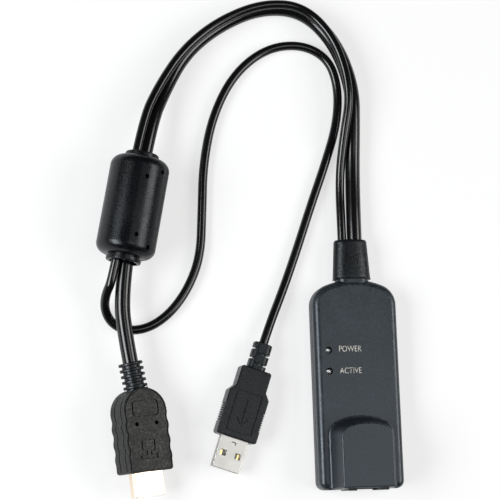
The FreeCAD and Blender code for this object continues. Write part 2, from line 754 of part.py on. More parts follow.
def engraved_frame(width, height, corner, y, top):
    """A narrow groove in the shape of a rounded frame, cut from the face at height top."""
    rings = []
    for grow in (0, -engraved_width):
        half_w, half_h, bend = width / 2 + grow, height / 2 + grow, max(corner + grow, 0.15)
        block = box(-half_w, half_w, y - half_h, y + half_h, top - engraved_depth, top + 1)
        uprights = [e for e in block.Edges if e.BoundBox.ZLength > 0.5]
        rings.append(block.makeFillet(bend, uprights))
    return rings[0].cut(rings[1])


def video_plug_grip():
    half_z = video_grip_thickness / 2
    face = wavy_face(-half_z)
    shape = face.extrude(Vector(0, 0, video_grip_thickness))
    rims = edges_at_height(shape, half_z) + edges_at_height(shape, -half_z)
    shape = shape.makeFillet(video_grip_edge, rims)
    for height in video_groove_heights:
        outer = wavy_face(height - video_groove_width / 2)
        inner = outer.makeOffset2D(-video_groove_depth)
        ring = outer.makeOffset2D(1.0).extrude(Vector(0, 0, video_groove_width))
        ring = ring.cut(inner.extrude(Vector(0, 0, video_groove_width)))
        shape = shape.cut(ring.cut(box(-30, 30, -5, 1.0, -half_z, half_z)))
    for side in (-1, 1):
        shape = shape.cut(cylinder(video_pin_radius, Vector(side * video_pin_offset, video_pin_y,
                                                           half_z - video_pin_depth), Z_AXIS, half_z))
    shape = shape.cut(engraved_frame(plate_width, plate_height, plate_corner, plate_y, half_z))
    shape = shape.cut(video_shell_bar(fit_gap / 2, 0.0, shell_embedded))
    pocket = cylinder(video_ring_radius + fit_gap, Vector(0, video_grip_length - relief_pocket, 0), Y_AXIS,
                      relief_pocket + 5)
    pocket.rotate(Vector(0, video_grip_length, 0), Z_AXIS, video_relief_turn)
    shape = shape.cut(pocket)
    return placed(shape, video_plug_place, video_plug_heading, video_plug_roll)


def video_relief():
    """Strain relief with rings along it and a flange that sits in the grip."""
    start = video_grip_length - relief_pocket
    shape = cylinder(video_relief_core, Vector(0, start, 0), Y_AXIS, relief_pocket + video_relief_length)
    flange = cylinder(video_ring_radius, Vector(0, start, 0), Y_AXIS, relief_pocket)
    rings = []
    for index in range(video_ring_count):
        y = video_grip_length + video_relief_length - video_ring_thickness - index * video_ring_pitch
        ring = cylinder(video_ring_radius, Vector(0, y, 0), Y_AXIS, video_ring_thickness)
        rings.append(ring.makeChamfer(ring_chamfer, [e for e in ring.Edges if e.Curve.TypeId == "Part::GeomCircle"]))
    shape = shape.multiFuse([flange] + rings)
    bore = cylinder(video_diameter / 2 + cable_clearance, Vector(0, start - 1, 0), Y_AXIS, 3 * video_relief_length)
    shape = shape.cut(bore).removeSplitter()
    shape.rotate(Vector(0, video_grip_length, 0), Z_AXIS, video_relief_turn)
    return placed(shape, video_plug_place, video_plug_heading, video_plug_roll)


def video_shell_bar(grow, y0, y1):
    """A bar with the video shell's section: flat top, two cut lower corners."""
    half_w, half_h = video_shell_width / 2 + grow, video_shell_height / 2 + grow
    cut = video_shell_chamfer + grow * 0.4
    places = [(-half_w, half_h), (half_w, half_h), (half_w, cut - half_h), (half_w - cut, -half_h),
              (cut - half_w, -half_h), (-half_w, cut - half_h), (-half_w, half_h)]
    face = Part.Face(Part.makePolygon([Vector(x, y0, z) for x, z in places]))
    return face.extrude(Vector(0, y1 - y0, 0))


def video_plug_shell():
    outer = video_shell_bar(0, -video_shell_exposed, shell_embedded)
    inner = video_shell_bar(-video_shell_wall, -video_shell_exposed - 1, shell_embedded - video_shell_wall)
    return placed(outer.cut(inner), video_plug_place, video_plug_heading, video_plug_roll)


def video_plug_tongue():
    """Insulator that fills the root of the shell, with a slot for the mating tongue."""
    inner = video_shell_bar(-video_shell_wall - fit_gap / 2, -video_tongue_back, shell_embedded - video_shell_wall)
    return placed(inner, video_plug_place, video_plug_heading, video_plug_roll)


def video_plug_contacts():
    contacts = []
    for level, count in ((video_contact_level, video_contact_count), (-video_contact_level, video_contact_count - 1)):
        for index in range(count):
            x = (index - (count - 1) / 2) * video_contact_pitch
            front = -video_tongue_back - video_contact_length
            contacts.append(box(x - video_contact_width / 2, x + video_contact_width / 2, front, -video_tongue_back,
                                level - video_contact_thickness / 2, level + video_contact_thickness / 2))
    return placed(Part.makeCompound(contacts), video_plug_place, video_plug_heading, video_plug_roll)


def data_grip_face(z):
    """The data plug's plan: a wide grip that steps in towards the cable."""
    half, neck, corner = data_grip_width / 2, data_grip_neck_width / 2, data_grip_corner
    end = data_grip_length
    side = [
        arc(Vector(half - corner, corner, z), corner, -90, 0),
        line(Vector(half, corner, z), Vector(half, data_flare_low, z)),
        line(Vector(half, data_flare_low, z), Vector(neck, data_flare_high, z)),
        line(Vector(neck, data_flare_high, z), Vector(neck, end - corner, z)),
        arc(Vector(neck - corner, end - corner, z), corner, 0, 90),
    ]
    edges = side + mirrored(side)
    edges.append(line(Vector(corner - half, 0, z), Vector(half - corner, 0, z)))
    edges.append(line(Vector(corner - neck, end, z), Vector(neck - corner, end, z)))
    return closed_face(edges)


def data_plug_grip():
    half_z = data_grip_thickness / 2
    shape = data_grip_face(-half_z).extrude(Vector(0, 0, data_grip_thickness))
    rims = edges_at_height(shape, half_z) + edges_at_height(shape, -half_z)
    shape = shape.makeFillet(data_grip_edge, rims)
    edge = data_grip_width / 2
    for index in range(data_rib_count):
        y = data_rib_start + index * data_rib_pitch
        for x0, x1 in ((edge - data_rib_depth, edge + 1), (-edge - 1, data_rib_depth - edge)):
            shape = shape.cut(box(x0, x1, y - data_rib_width / 2, y + data_rib_width / 2, -half_z, half_z))
    shape = shape.cut(engraved_frame(frame_width, frame_height, frame_corner, frame_y, half_z))
    shape = shape.cut(data_shell_bar(fit_gap / 2, 0.0, shell_embedded))
    shape = shape.cut(rounded_bar(data_relief_width + 2 * fit_gap, data_relief_height + 2 * fit_gap,
                                  data_relief_corner, data_grip_length - relief_pocket, data_grip_length + 5, 0))
    return placed(shape, data_plug_place, data_plug_heading, data_plug_roll)


def data_relief():
    """Strain relief with slots from alternate sides."""
    start = data_grip_length - relief_pocket
    tip = data_grip_length + data_relief_length
    shape = rounded_bar(data_relief_width, data_relief_height, data_relief_corner, start, tip, 0)
    shape = shape.makeFillet(0.5, [e for e in shape.Edges if e.BoundBox.YMin > tip - 0.01])
    core = cylinder(data_diameter / 2 + 0.7, Vector(0, start, 0), Y_AXIS, tip - start)
    for index in range(relief_slot_count):
        y = data_grip_length + 1.7 + index * relief_slot_pitch
        side = 1 if index % 2 == 0 else -1
        edge = side * data_relief_width / 2
        x0, x1 = sorted((edge - side * relief_slot_depth, edge + side))
        slot = box(x0, x1, y, y + relief_slot_width, -data_relief_height, data_relief_height)
        z_edge = side * data_relief_height / 2
        z0, z1 = sorted((z_edge - side * relief_slot_depth * 0.7, z_edge + side))
        cross = box(-data_relief_width / 2 + 1.6, data_relief_width / 2 - 1.6, y, y + relief_slot_width, z0, z1)
        shape = shape.cut(slot.fuse(cross).cut(core))
    bore = cylinder(data_diameter / 2 + cable_clearance, Vector(0, start - 1, 0), Y_AXIS, 3 * data_relief_length)
    return placed(shape.cut(bore), data_plug_place, data_plug_heading, data_plug_roll)


def data_shell_bar(grow, y0, y1):
    return rounded_bar(data_shell_width + 2 * grow, data_shell_height + 2 * grow, data_shell_corner + grow, y0, y1, 0)


def data_plug_shell():
    shape = data_shell_bar(0, -data_shell_exposed, shell_embedded)
    shape = shape.cut(data_shell_bar(-data_shell_wall, -data_shell_exposed - 1, shell_embedded - data_shell_wall))
    for side in (-1, 1):
        x = side * window_offset
        shape = shape.cut(box(x - window_size / 2, x + window_size / 2, window_y - window_size / 2,
                              window_y + window_size / 2, -data_shell_height, data_shell_height))
    return placed(shape, data_plug_place, data_plug_heading, data_plug_roll)


def data_tongue_bar(y0, y1):
    low = data_shell_wall + fit_gap - data_shell_height / 2
    half = data_tongue_width / 2
    return box(-half, half, y0, y1, low, low + data_tongue_height)


def data_plug_tongue():
    root = data_shell_bar(-data_shell_wall - fit_gap / 2, 0, shell_embedded - data_shell_wall)
    shape = root.fuse(data_tongue_bar(data_tongue_recess - data_shell_exposed, 0.5)).removeSplitter()
    return placed(shape, data_plug_place, data_plug_heading, data_plug_roll)


def data_plug_contacts():
    low = data_shell_wall + fit_gap - data_shell_height / 2 + data_tongue_height
    contacts = []
    for index in range(data_contact_count):
        x = (index - (data_contact_count - 1) / 2) * data_contact_pitch
        front = data_tongue_recess + 0.8 - data_shell_exposed
        contacts.append(box(x - data_contact_width / 2, x + data_contact_width / 2, front,
                            front + data_contact_length, low, low + data_contact_height))
    return placed(Part.makeCompound(contacts), data_plug_place, data_plug_heading, data_plug_roll)


def cord(name, route, diameter):
    """A tube along straight runs joined by tangent arcs, with its radii and volume printed."""
    points = [Vector(*place) for place in route]
    runs = [b - a for a, b in zip(points, points[1:])]
    edges, radii, start, length = [], [], points[0], 0.0
    for corner, before, after in zip(points[1:], runs, runs[1:]):
        turn = before.getAngle(after)
        cut = 0.45 * min(before.Length, after.Length)
        radius = cut / math.tan(turn / 2)
        ahead, behind = Vector(after).normalize(), Vector(before).normalize()
        enter, leave = corner - behind * cut, corner + ahead * cut
        inward = (ahead - behind).normalize()
        middle = corner + inward * (radius / math.cos(turn / 2) - radius)
        edges += [line(start, enter), Part.Arc(enter, middle, leave).toShape()]
        length += (enter - start).Length + radius * turn
        radii.append(round(radius, 1))
        start = leave
    edges.append(line(start, points[-1]))
    length += (points[-1] - start).Length
    path = Part.Wire(edges)
    section = Part.Wire(Part.Circle(points[0], runs[0], diameter / 2).toShape())
    tube = path.makePipeShell([section], True, False)
    expected = math.pi * diameter ** 2 / 4 * length
    print(name, "length", round(length, 1), "volume", round(tube.Volume, 1), "section x length",
          round(expected, 1), "least radius", min(radii), "radii", radii)
    return tube


def build():
    video_pins = [video_header_x + (i - (video_wire_count - 1) / 2) * video_wire_pitch
                  for i in range(video_wire_count)]
    data_pins = [data_header_x + (i - (data_wire_count - 1) / 2) * data_wire_pitch for i in range(data_wire_count)]
    nodes = {
        "bottom_cover": bottom_cover(),
        "top_cover": top_cover(),
        "case_screws": case_screws(),
        "cable_boot": cable_boot(),
        "circuit_board": circuit_board(),
        "main_chip": leaded_chip(main_chip_size, 10, 0.9),
        "memory_chip": leaded_chip(memory_chip_size, 7, 1.1),
        "power_regulator": leaded_chip(regulator_size, 4, 1.2),
        "isolation_transformer": leaded_chip(transformer_size, 6, 1.2),
        "crystal": crystal(),
        "capacitors": Part.makeCompound([cylinder(capacitor_radius, Vector(x, board_crown_edge - y, board_top),
                                                  Z_AXIS, capacitor_height) for x, y in capacitor_places]),
        "power_lamp": lamp(lamp_places["power_lamp"]),
        "active_lamp": lamp(lamp_places["active_lamp"]),
        "video_header": header(video_header_x, video_header_width, video_pins),
        "data_header": header(data_header_x, data_header_width, data_pins),
        "video_wires": cable_wires(video_exit_x, video_wire_count, video_wire_radius, 0.17 * video_diameter,
                                   video_header_x, video_wire_pitch),
        "data_wires": cable_wires(data_exit_x, data_wire_count, data_wire_radius, 0.22 * data_diameter,
                                  data_header_x, data_wire_pitch),
        "network_jack_housing": jack_housing(),
        "network_jack_carrier": jack_carrier(),
        "network_jack_contacts": jack_contacts(),
        "ferrite_cover": ferrite_cover(),
        "ferrite_core": ferrite_core(),
        "video_cable": cord("video_cable", video_route, video_diameter),
        "data_cable": cord("data_cable", data_route, data_diameter),
        "video_plug_grip": video_plug_grip(),
        "video_plug_relief": video_relief(),
        "video_plug_shell": video_plug_shell(),
        "video_plug_tongue": video_plug_tongue(),
        "video_plug_contacts": video_plug_contacts(),
        "data_plug_grip": data_plug_grip(),
        "data_plug_relief": data_relief(),
        "data_plug_shell": data_plug_shell(),
        "data_plug_tongue": data_plug_tongue(),
        "data_plug_contacts": data_plug_contacts(),
    }
    os.makedirs("parts", exist_ok=True)
    for name, shape in nodes.items():
        print(name, "valid", shape.isValid(), "solids", len(shape.Solids), "volume", round(shape.Volume, 1),
              [round(v, 1) for v in (shape.BoundBox.XMin, shape.BoundBox.XMax, shape.BoundBox.YMin,
                                     shape.BoundBox.YMax, shape.BoundBox.ZMin, shape.BoundBox.ZMax)])
        shape.exportStep("parts/%s.step" % name)


def crystal():
    """The crystal's round-ended can on the board."""
    x, setback, width, length, height = crystal_size
    radius, y = width / 2, board_crown_edge - setback
    half = length / 2 - radius
    edges = [arc(Vector(x, y + half, board_top), radius, 0, 180), arc(Vector(x, y - half, board_top), radius, 180, 360)]
    edges += [line(Vector(x + s * radius, y - half, board_top), Vector(x + s * radius, y + half, board_top))
              for s in (-1, 1)]
    return closed_face(edges).extrude(Vector(0, 0, height))


build()
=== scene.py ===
"""Looks of a console adapter lead: a dark housing with a network jack, two cables and two plugs."""

import json
import logging
import math
from collections.abc import Iterator
from contextlib import contextmanager
from dataclasses import dataclass, field
from enum import Enum

import bpy
from mathutils import Matrix, Vector


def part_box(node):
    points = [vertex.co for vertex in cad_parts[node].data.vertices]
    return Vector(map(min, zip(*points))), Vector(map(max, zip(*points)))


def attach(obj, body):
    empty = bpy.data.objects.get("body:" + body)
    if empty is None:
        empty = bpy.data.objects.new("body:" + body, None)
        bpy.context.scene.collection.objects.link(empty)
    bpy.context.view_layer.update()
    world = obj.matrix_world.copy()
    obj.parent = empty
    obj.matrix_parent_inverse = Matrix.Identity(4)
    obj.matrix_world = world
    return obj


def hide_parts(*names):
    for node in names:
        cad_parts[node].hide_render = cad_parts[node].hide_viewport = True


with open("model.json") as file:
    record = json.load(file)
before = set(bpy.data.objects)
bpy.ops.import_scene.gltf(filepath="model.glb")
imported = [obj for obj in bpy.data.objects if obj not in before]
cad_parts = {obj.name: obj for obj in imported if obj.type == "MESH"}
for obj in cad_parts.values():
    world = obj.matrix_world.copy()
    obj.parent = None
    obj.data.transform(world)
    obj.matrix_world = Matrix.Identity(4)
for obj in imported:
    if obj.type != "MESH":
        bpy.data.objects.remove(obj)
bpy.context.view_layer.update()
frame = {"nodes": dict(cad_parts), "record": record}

log = logging.getLogger("adapter")
Point = tuple[float, float, float]
Colour = tuple[float, float, float]
Feed = bpy.types.NodeSocket | float

WELD = 0.000002       # corners nearer than this, in metres, are one corner
SAME_WAY = 0.999      # directions with a cosine above this count as the same
SOFT_DEGREES = 35.0   # edges up to this angle are shaded smooth on rounded pieces
CRISP_DEGREES = 30.0  # and up to this one on engraved pieces


# Small tools

def deselect_all() -> None:
    """Leaves nothing selected."""
    bpy.ops.object.select_all(action="DESELECT")


def select_only(piece: bpy.types.Object) -> None:
    """Makes one object the only selected and the active one."""
    deselect_all()
    piece.select_set(True)
    bpy.context.view_layer.objects.active = piece


def settle(piece: bpy.types.Object) -> None:
    """Puts an object's place into its mesh, so that the object sits at the origin."""
    select_only(piece)
    bpy.ops.object.transform_apply(location=True, rotation=True, scale=True)


def apply_modifiers(piece: bpy.types.Object) -> None:
    """Applies every modifier of a piece, in order."""
    select_only(piece)
    for modifier in list(piece.modifiers):
        bpy.ops.object.modifier_apply(modifier=modifier.name)


@contextmanager
def editing() -> Iterator[None]:
    """Keeps the active mesh in edit mode for a block of steps."""
    bpy.ops.object.mode_set(mode="EDIT")
    yield
    bpy.ops.object.mode_set(mode="OBJECT")


def thicken(piece: bpy.types.Object, thickness: float, offset: float = -1.0) -> None:
    """Makes a solid of a sheet.

    Args:
        piece: the sheet.
        thickness: its new thickness in metres.
        offset: -1 to grow it against its normals, 1 along them, 0 to both sides.
    """
    wall = piece.modifiers.new("wall", "SOLIDIFY")
    wall.thickness = thickness
    wall.offset = offset
    apply_modifiers(piece)


def combine(piece: bpy.types.Object, operation: str, other: bpy.types.Object) -> bpy.types.BooleanModifier:
    """Adds an exact boolean step to a piece.

    Args:
        piece: the piece it changes.
        operation: UNION or DIFFERENCE.
        other: the solid that is joined on or cut away.

    Returns:
        The new modifier.
    """
    step = piece.modifiers.new(operation.lower(), "BOOLEAN")
    step.operation = operation
    step.solver = "EXACT"
    step.object = other
    return step


def smooth(piece: bpy.types.Object, degrees: float) -> None:
    """Shades a piece smooth, except over edges sharper than an angle."""
    select_only(piece)
    bpy.ops.object.shade_smooth_by_angle(angle=math.radians(degrees))


def dress(piece: bpy.types.Object, material: bpy.types.Material) -> None:
    """Gives all of a piece one material."""
    piece.data.materials.clear()
    piece.data.materials.append(material)


def copy_of_node(node: str, name: str) -> bpy.types.Object:
    """Copies a CAD node's mesh into a new object and merges its loose corners.

    Args:
        node: name of the CAD node.
        name: name of the new piece.

    Returns:
        The new object, at the origin.
    """
    mesh = frame["nodes"][node].data.copy()
    piece = bpy.data.objects.new(name, mesh)
    bpy.context.scene.collection.objects.link(piece)
    select_only(piece)
    if mesh.has_custom_normals:
        bpy.ops.mesh.customdata_custom_splitnormals_clear()
    with editing():
        bpy.ops.mesh.select_all(action="SELECT")
        bpy.ops.mesh.remove_doubles(threshold=WELD)
    return piece


@dataclass(frozen=True)
class PlugPlace:
    """Where a plug lies: its grip's front middle, its heading and its roll about its own length."""

    place: Point
    heading: float
    roll: float

    def matrix(self) -> Matrix:
        """Returns the turn and move from the plug's own axes to the frame."""
        heading = Matrix.Rotation(math.radians(self.heading), 4, "Z")
        roll = Matrix.Rotation(math.radians(self.roll), 4, "Y")
        return Matrix.Translation(Vector(self.place)) @ (heading @ roll)


# Shader tools

def feed(tree: bpy.types.NodeTree, slot: bpy.types.NodeSocket, value: Feed) -> None:
    """Links a socket into an input, or sets the input to a number."""
    if isinstance(value, bpy.types.NodeSocket):
        tree.links.new(value, slot)
    else:
        slot.default_value = value


def calc(tree: bpy.types.NodeTree, operation: str, *values: Feed) -> bpy.types.NodeSocket:
    """Adds a math node.

    Args:
        tree: the tree it goes in.
        operation: what it does.
        values: a socket or a number for each input, in order.

    Returns:
        Its output.
    """
    node = tree.nodes.new("ShaderNodeMath")
    node.operation = operation
    for slot, value in zip(node.inputs, values):
        feed(tree, slot, value)
    return node.outputs[0]


def noise(tree: bpy.types.NodeTree, vector: bpy.types.NodeSocket, scale: Feed,
          detail: float = 2.0) -> bpy.types.Node:
    """Adds a noise texture.

    Args:
        tree: the tree it goes in.
        vector: its coordinates.
        scale: its cycles per metre.
        detail: its number of finer layers.

    Returns:
        The texture's node.
    """
    node = tree.nodes.new("ShaderNodeTexNoise")
    node.inputs["Detail"].default_value = detail
    tree.links.new(vector, node.inputs["Vector"])
    feed(tree, node.inputs["Scale"], scale)
    return node


def ramp(tree: bpy.types.NodeTree, value: bpy.types.NodeSocket,
         ends: tuple[float, float]) -> bpy.types.NodeSocket:
    """Maps a value to 0 at the first end and 1 at the second, and holds it between them."""
    node = tree.nodes.new("ShaderNodeMapRange")
    node.inputs["From Min"].default_value, node.inputs["From Max"].default_value = ends
    tree.links.new(value, node.inputs["Value"])
    return node.outputs["Result"]


def new_material(name: str) -> tuple[bpy.types.Material, bpy.types.NodeTree, bpy.types.Node]:
    """Makes a material and returns it with its tree and its shader."""
    material = bpy.data.materials.new(name)
    material.use_nodes = True
    return material, material.node_tree, material.node_tree.nodes["Principled BSDF"]


def mirrored_ray(tree: bpy.types.NodeTree, path: bpy.types.Node) -> bpy.types.NodeSocket:
    """Puts out 1 for rays that a surface mirrors or lets through."""
    return calc(tree, "MAXIMUM", path.outputs["Is Glossy Ray"], path.outputs["Is Transmission Ray"])


# Shader groups

MEAN = 0.5                       # a noise texture's mean
GRAIN_ROUGHNESS = 0.6
SLOW_SCALE = 95.0                # scales are in cycles per metre
GRAIN_SHARE = 2.2                # weight of the fine grain against the slow mottle
LINE_STRETCH = (1.0, 0.04, 1.0)
BLOTCH_SCALE = 240.0
SPECK_SCALE = 420.0
SPECK_ENDS = (0.05, 0.02)        # a speck's edge and core, as distances from its middle
PATCH_SCALE = 160.0
PATCH_ENDS = (0.55, 0.68)        # noise levels between which specks appear
SPECK_COLOUR = (0.42, 0.42, 0.41, 1)


class Socket(Enum):
    """Kinds of group socket."""

    VECTOR = "NodeSocketVector"
    COLOUR = "NodeSocketColor"
    NUMBER = "NodeSocketFloat"


class ShaderGroup(Enum):
    """Surface effects that several materials share."""

    MOULDED = "moulded_surface"
    DRAWN = "drawn_metal"
    DUST = "settled_dust"


@dataclass
class GroupLibrary:
    """Builds each shared shader effect once and places it in materials."""

    made: dict[ShaderGroup, bpy.types.NodeTree] = field(default_factory=dict)

    def place(self, kind: ShaderGroup, tree: bpy.types.NodeTree,
              values: dict[str, float | tuple[float, ...]]) -> bpy.types.Node:
        """Places an effect in a material, on the object's own coordinates.

        Args:
            kind: the effect, which is built at its first use.
            tree: the material's tree.
            values: the effect's inputs by name.

        Returns:
            The group's node.
        """
        if kind not in self.made:
            builder = {
                ShaderGroup.MOULDED: self._moulded,
                ShaderGroup.DRAWN: self._drawn,
                ShaderGroup.DUST: self._dust,
            }[kind]
            self.made[kind] = builder(kind.value)
        group = tree.nodes.new("ShaderNodeGroup")
        group.node_tree = self.made[kind]
        for label, value in values.items():
            group.inputs[label].default_value = value
        coordinates = tree.nodes.new("ShaderNodeTexCoord")
        tree.links.new(coordinates.outputs["Object"], group.inputs["Vector"])
        return group

    @staticmethod
    def _start(name: str, inputs: dict[str, Socket],
               outputs: dict[str, Socket]) -> tuple[bpy.types.NodeTree, bpy.types.Node, bpy.types.Node]:
        """Makes an empty group with its sockets.

        Args:
            name: name of the group.
            inputs: kind of each input, by name.
            outputs: kind of each output, by name.

        Returns:
            The group and its input and output nodes.
        """
        tree = bpy.data.node_groups.new(name, "ShaderNodeTree")
        for side, sockets in (("INPUT", inputs), ("OUTPUT", outputs)):
            for label, kind in sockets.items():
                tree.interface.new_socket(name=label, in_out=side, socket_type=kind.value)
        return tree, tree.nodes.new("NodeGroupInput"), tree.nodes.new("NodeGroupOutput")

    def _start_surface(self, name: str,
                       scale: str) -> tuple[bpy.types.NodeTree, bpy.types.Node, bpy.types.Node]:
        """Makes an empty group for a surface, whose texture scale has a name of its own."""
        return self._start(
            name,
            {"Vector": Socket.VECTOR, "Colour": Socket.COLOUR, scale: Socket.NUMBER, "Mottle": Socket.NUMBER,
             "Roughness": Socket.NUMBER, "Spread": Socket.NUMBER},
            {"Colour": Socket.COLOUR, "Roughness": Socket.NUMBER, "Height": Socket.NUMBER})

    @staticmethod
    def _vary(tree: bpy.types.NodeTree, source: bpy.types.Node, result: bpy.types.Node,
              change: bpy.types.NodeSocket) -> None:
        """Varies a surface's colour and roughness.

        Args:
            tree: the group.
            source: its input node.
            result: its output node.
            change: the variation, which is 0 on average.
        """
        amount = calc(tree, "MULTIPLY_ADD", change, source.outputs["Mottle"], 1.0)
        tint = tree.nodes.new("ShaderNodeVectorMath")
        tint.operation = "SCALE"
        tree.links.new(source.outputs["Colour"], tint.inputs[0])
        tree.links.new(amount, tint.inputs["Scale"])
        tree.links.new(tint.outputs[0], result.inputs["Colour"])
        rough = calc(tree, "MULTIPLY_ADD", change, source.outputs["Spread"], source.outputs["Roughness"])
        tree.links.new(rough, result.inputs["Roughness"])

    def _moulded(self, name: str) -> bpy.types.NodeTree:
        """Fine tool texture with slow colour and gloss variation."""
        tree, source, result = self._start_surface(name, "Grain Scale")
        grain = noise(tree, source.outputs["Vector"], source.outputs["Grain Scale"], detail=3.0)
        grain.inputs["Roughness"].default_value = GRAIN_ROUGHNESS
        slow = noise(tree, source.outputs["Vector"], SLOW_SCALE, detail=5.0)
        fine = calc(tree, "SUBTRACT", grain.outputs["Fac"], MEAN)
        centred = calc(tree, "SUBTRACT", slow.outputs["Fac"], MEAN)
        self._vary(tree, source, result, calc(tree, "MULTIPLY_ADD", fine, GRAIN_SHARE, centred))
        tree.links.new(grain.outputs["Fac"], result.inputs["Height"])
        return tree

    def _drawn(self, name: str) -> bpy.types.NodeTree:
        """Lines along a drawn or rolled sheet, with faint blotches in its plating."""
        tree, source, result = self._start_surface(name, "Line Scale")
        stretch = tree.nodes.new("ShaderNodeMapping")
        stretch.inputs["Scale"].default_value = LINE_STRETCH
        tree.links.new(source.outputs["Vector"], stretch.inputs["Vector"])
        lines = noise(tree, stretch.outputs[0], source.outputs["Line Scale"], detail=4.0)
        blotch = noise(tree, source.outputs["Vector"], BLOTCH_SCALE, detail=3.0)
        self._vary(tree, source, result, calc(tree, "SUBTRACT", blotch.outputs["Fac"], MEAN))
        tree.links.new(lines.outputs["Fac"], result.inputs["Height"])
        return tree

    def _dust(self, name: str) -> bpy.types.NodeTree:
        """Sparse pale specks, as settle on dark plastic."""
        tree, source, result = self._start(
            name,
            {"Vector": Socket.VECTOR, "Colour": Socket.COLOUR, "Amount": Socket.NUMBER},
            {"Colour": Socket.COLOUR, "Mask": Socket.NUMBER})
        specks = tree.nodes.new("ShaderNodeTexVoronoi")
        specks.inputs["Scale"].default_value = SPECK_SCALE
        tree.links.new(source.outputs["Vector"], specks.inputs["Vector"])
        patch = noise(tree, source.outputs["Vector"], PATCH_SCALE)
        mask = calc(tree, "MULTIPLY", ramp(tree, specks.outputs["Distance"], SPECK_ENDS),
                    ramp(tree, patch.outputs["Fac"], PATCH_ENDS))
        share = calc(tree, "MULTIPLY", mask, source.outputs["Amount"])
        mix = tree.nodes.new("ShaderNodeMix")
        mix.data_type = "RGBA"
        mix.inputs["B"].default_value = SPECK_COLOUR
        tree.links.new(share, mix.inputs["Factor"])
        tree.links.new(source.outputs["Colour"], mix.inputs["A"])
        tree.links.new(mix.outputs["Result"], result.inputs["Colour"])
        tree.links.new(share, result.inputs["Mask"])
        return tree


# Finishes

@dataclass(frozen=True)
class Finish:
    """A material whose colour and roughness come from a shared effect."""

    name: str
    colour: Colour
    roughness: float
    spread: float
    mottle: float

    def _start(self, groups: GroupLibrary, kind: ShaderGroup, scale_name: str,
               scale: float) -> tuple[bpy.types.Material, bpy.types.Node, bpy.types.Node]:
        """Starts the material.

        Args:
            groups: the shared shader effects.
            kind: the effect.
            scale_name: name of the effect's scale.
            scale: the scale in cycles per metre.

        Returns:
            The material, its shader and the effect's node.
        """
        material, tree, shader = new_material(self.name)
        surface = groups.place(kind, tree, {
            "Colour": (*self.colour, 1), scale_name: scale, "Mottle": self.mottle,
            "Roughness": self.roughness, "Spread": self.spread})
        tree.links.new(surface.outputs["Colour"], shader.inputs["Base Color"])
        tree.links.new(surface.outputs["Roughness"], shader.inputs["Roughness"])
        return material, shader, surface

    @staticmethod
    def _bump(shader: bpy.types.Node, surface: bpy.types.Node, depth: float) -> None:
        """Turns the effect's height into the shader's normal.

        Args:
            shader: the material's shader.
            surface: the effect's node.
            depth: the texture's depth in metres.
        """
        tree = shader.id_data
        bump = tree.nodes.new("ShaderNodeBump")
        bump.inputs["Distance"].default_value = depth
        tree.links.new(surface.outputs["Height"], bump.inputs["Height"])
        tree.links.new(bump.outputs["Normal"], shader.inputs["Normal"])


@dataclass(frozen=True)
class MouldedFinish(Finish):
    """Moulded plastic or rubber: a fine texture, slow variation and a little dust."""

    roughness: float = 0.42
    spread: float = 0.12
    mottle: float = 0.25
    grain_scale: float = 3200.0
    grain_depth: float = 0.00002
    dust: float = 0.0
    specular: float = 0.5
    sheen_tint: Colour = (1.0, 1.0, 1.0)

    def build(self, groups: GroupLibrary) -> bpy.types.Material:
        """Builds the material.

        Args:
            groups: the shared shader effects.

        Returns:
            The finished material.
        """
        material, shader, surface = self._start(groups, ShaderGroup.MOULDED, "Grain Scale", self.grain_scale)
        if self.dust > 0:
            tree = material.node_tree
            dust = groups.place(ShaderGroup.DUST, tree, {"Amount": self.dust})
            tree.links.new(surface.outputs["Colour"], dust.inputs["Colour"])
            tree.links.new(dust.outputs["Colour"], shader.inputs["Base Color"])
        self._bump(shader, surface, self.grain_depth)
        shader.inputs["Specular IOR Level"].default_value = self.specular
        shader.inputs["Specular Tint"].default_value = (*self.sheen_tint, 1)
        return material


@dataclass(frozen=True)
class MetalFinish(Finish):
    """Plated or bare sheet metal with drawing lines."""

    roughness: float = 0.2
    spread: float = 0.12
    mottle: float = 0.12
    line_scale: float = 1500.0
    line_depth: float = 0.000006

    def build(self, groups: GroupLibrary) -> bpy.types.Material:
        """Builds the material.

        Args:
            groups: the shared shader effects.

        Returns:
            The finished material.
        """
        material, shader, surface = self._start(groups, ShaderGroup.DRAWN, "Line Scale", self.line_scale)
        self._bump(shader, surface, self.line_depth)
        shader.inputs["Metallic"].default_value = 1.0
        return material


@dataclass(frozen=True)
class LampFinish(Finish):
    """Clear cast lamp body with a faint haze."""

    roughness: float = 0.06
    spread: float = 0.05
    mottle: float = 0.1
    haze_scale: float = 900.0
    clearness: float = 0.9
    refraction: float = 1.5

    def build(self, groups: GroupLibrary) -> bpy.types.Material:
        """Builds the material.

        Args:
            groups: the shared shader effects.

        Returns:
            The finished material.
        """
        material, shader, _ = self._start(groups, ShaderGroup.MOULDED, "Grain Scale", self.haze_scale)
        shader.inputs["Transmission Weight"].default_value = self.clearness
        shader.inputs["IOR"].default_value = self.refraction
        return material


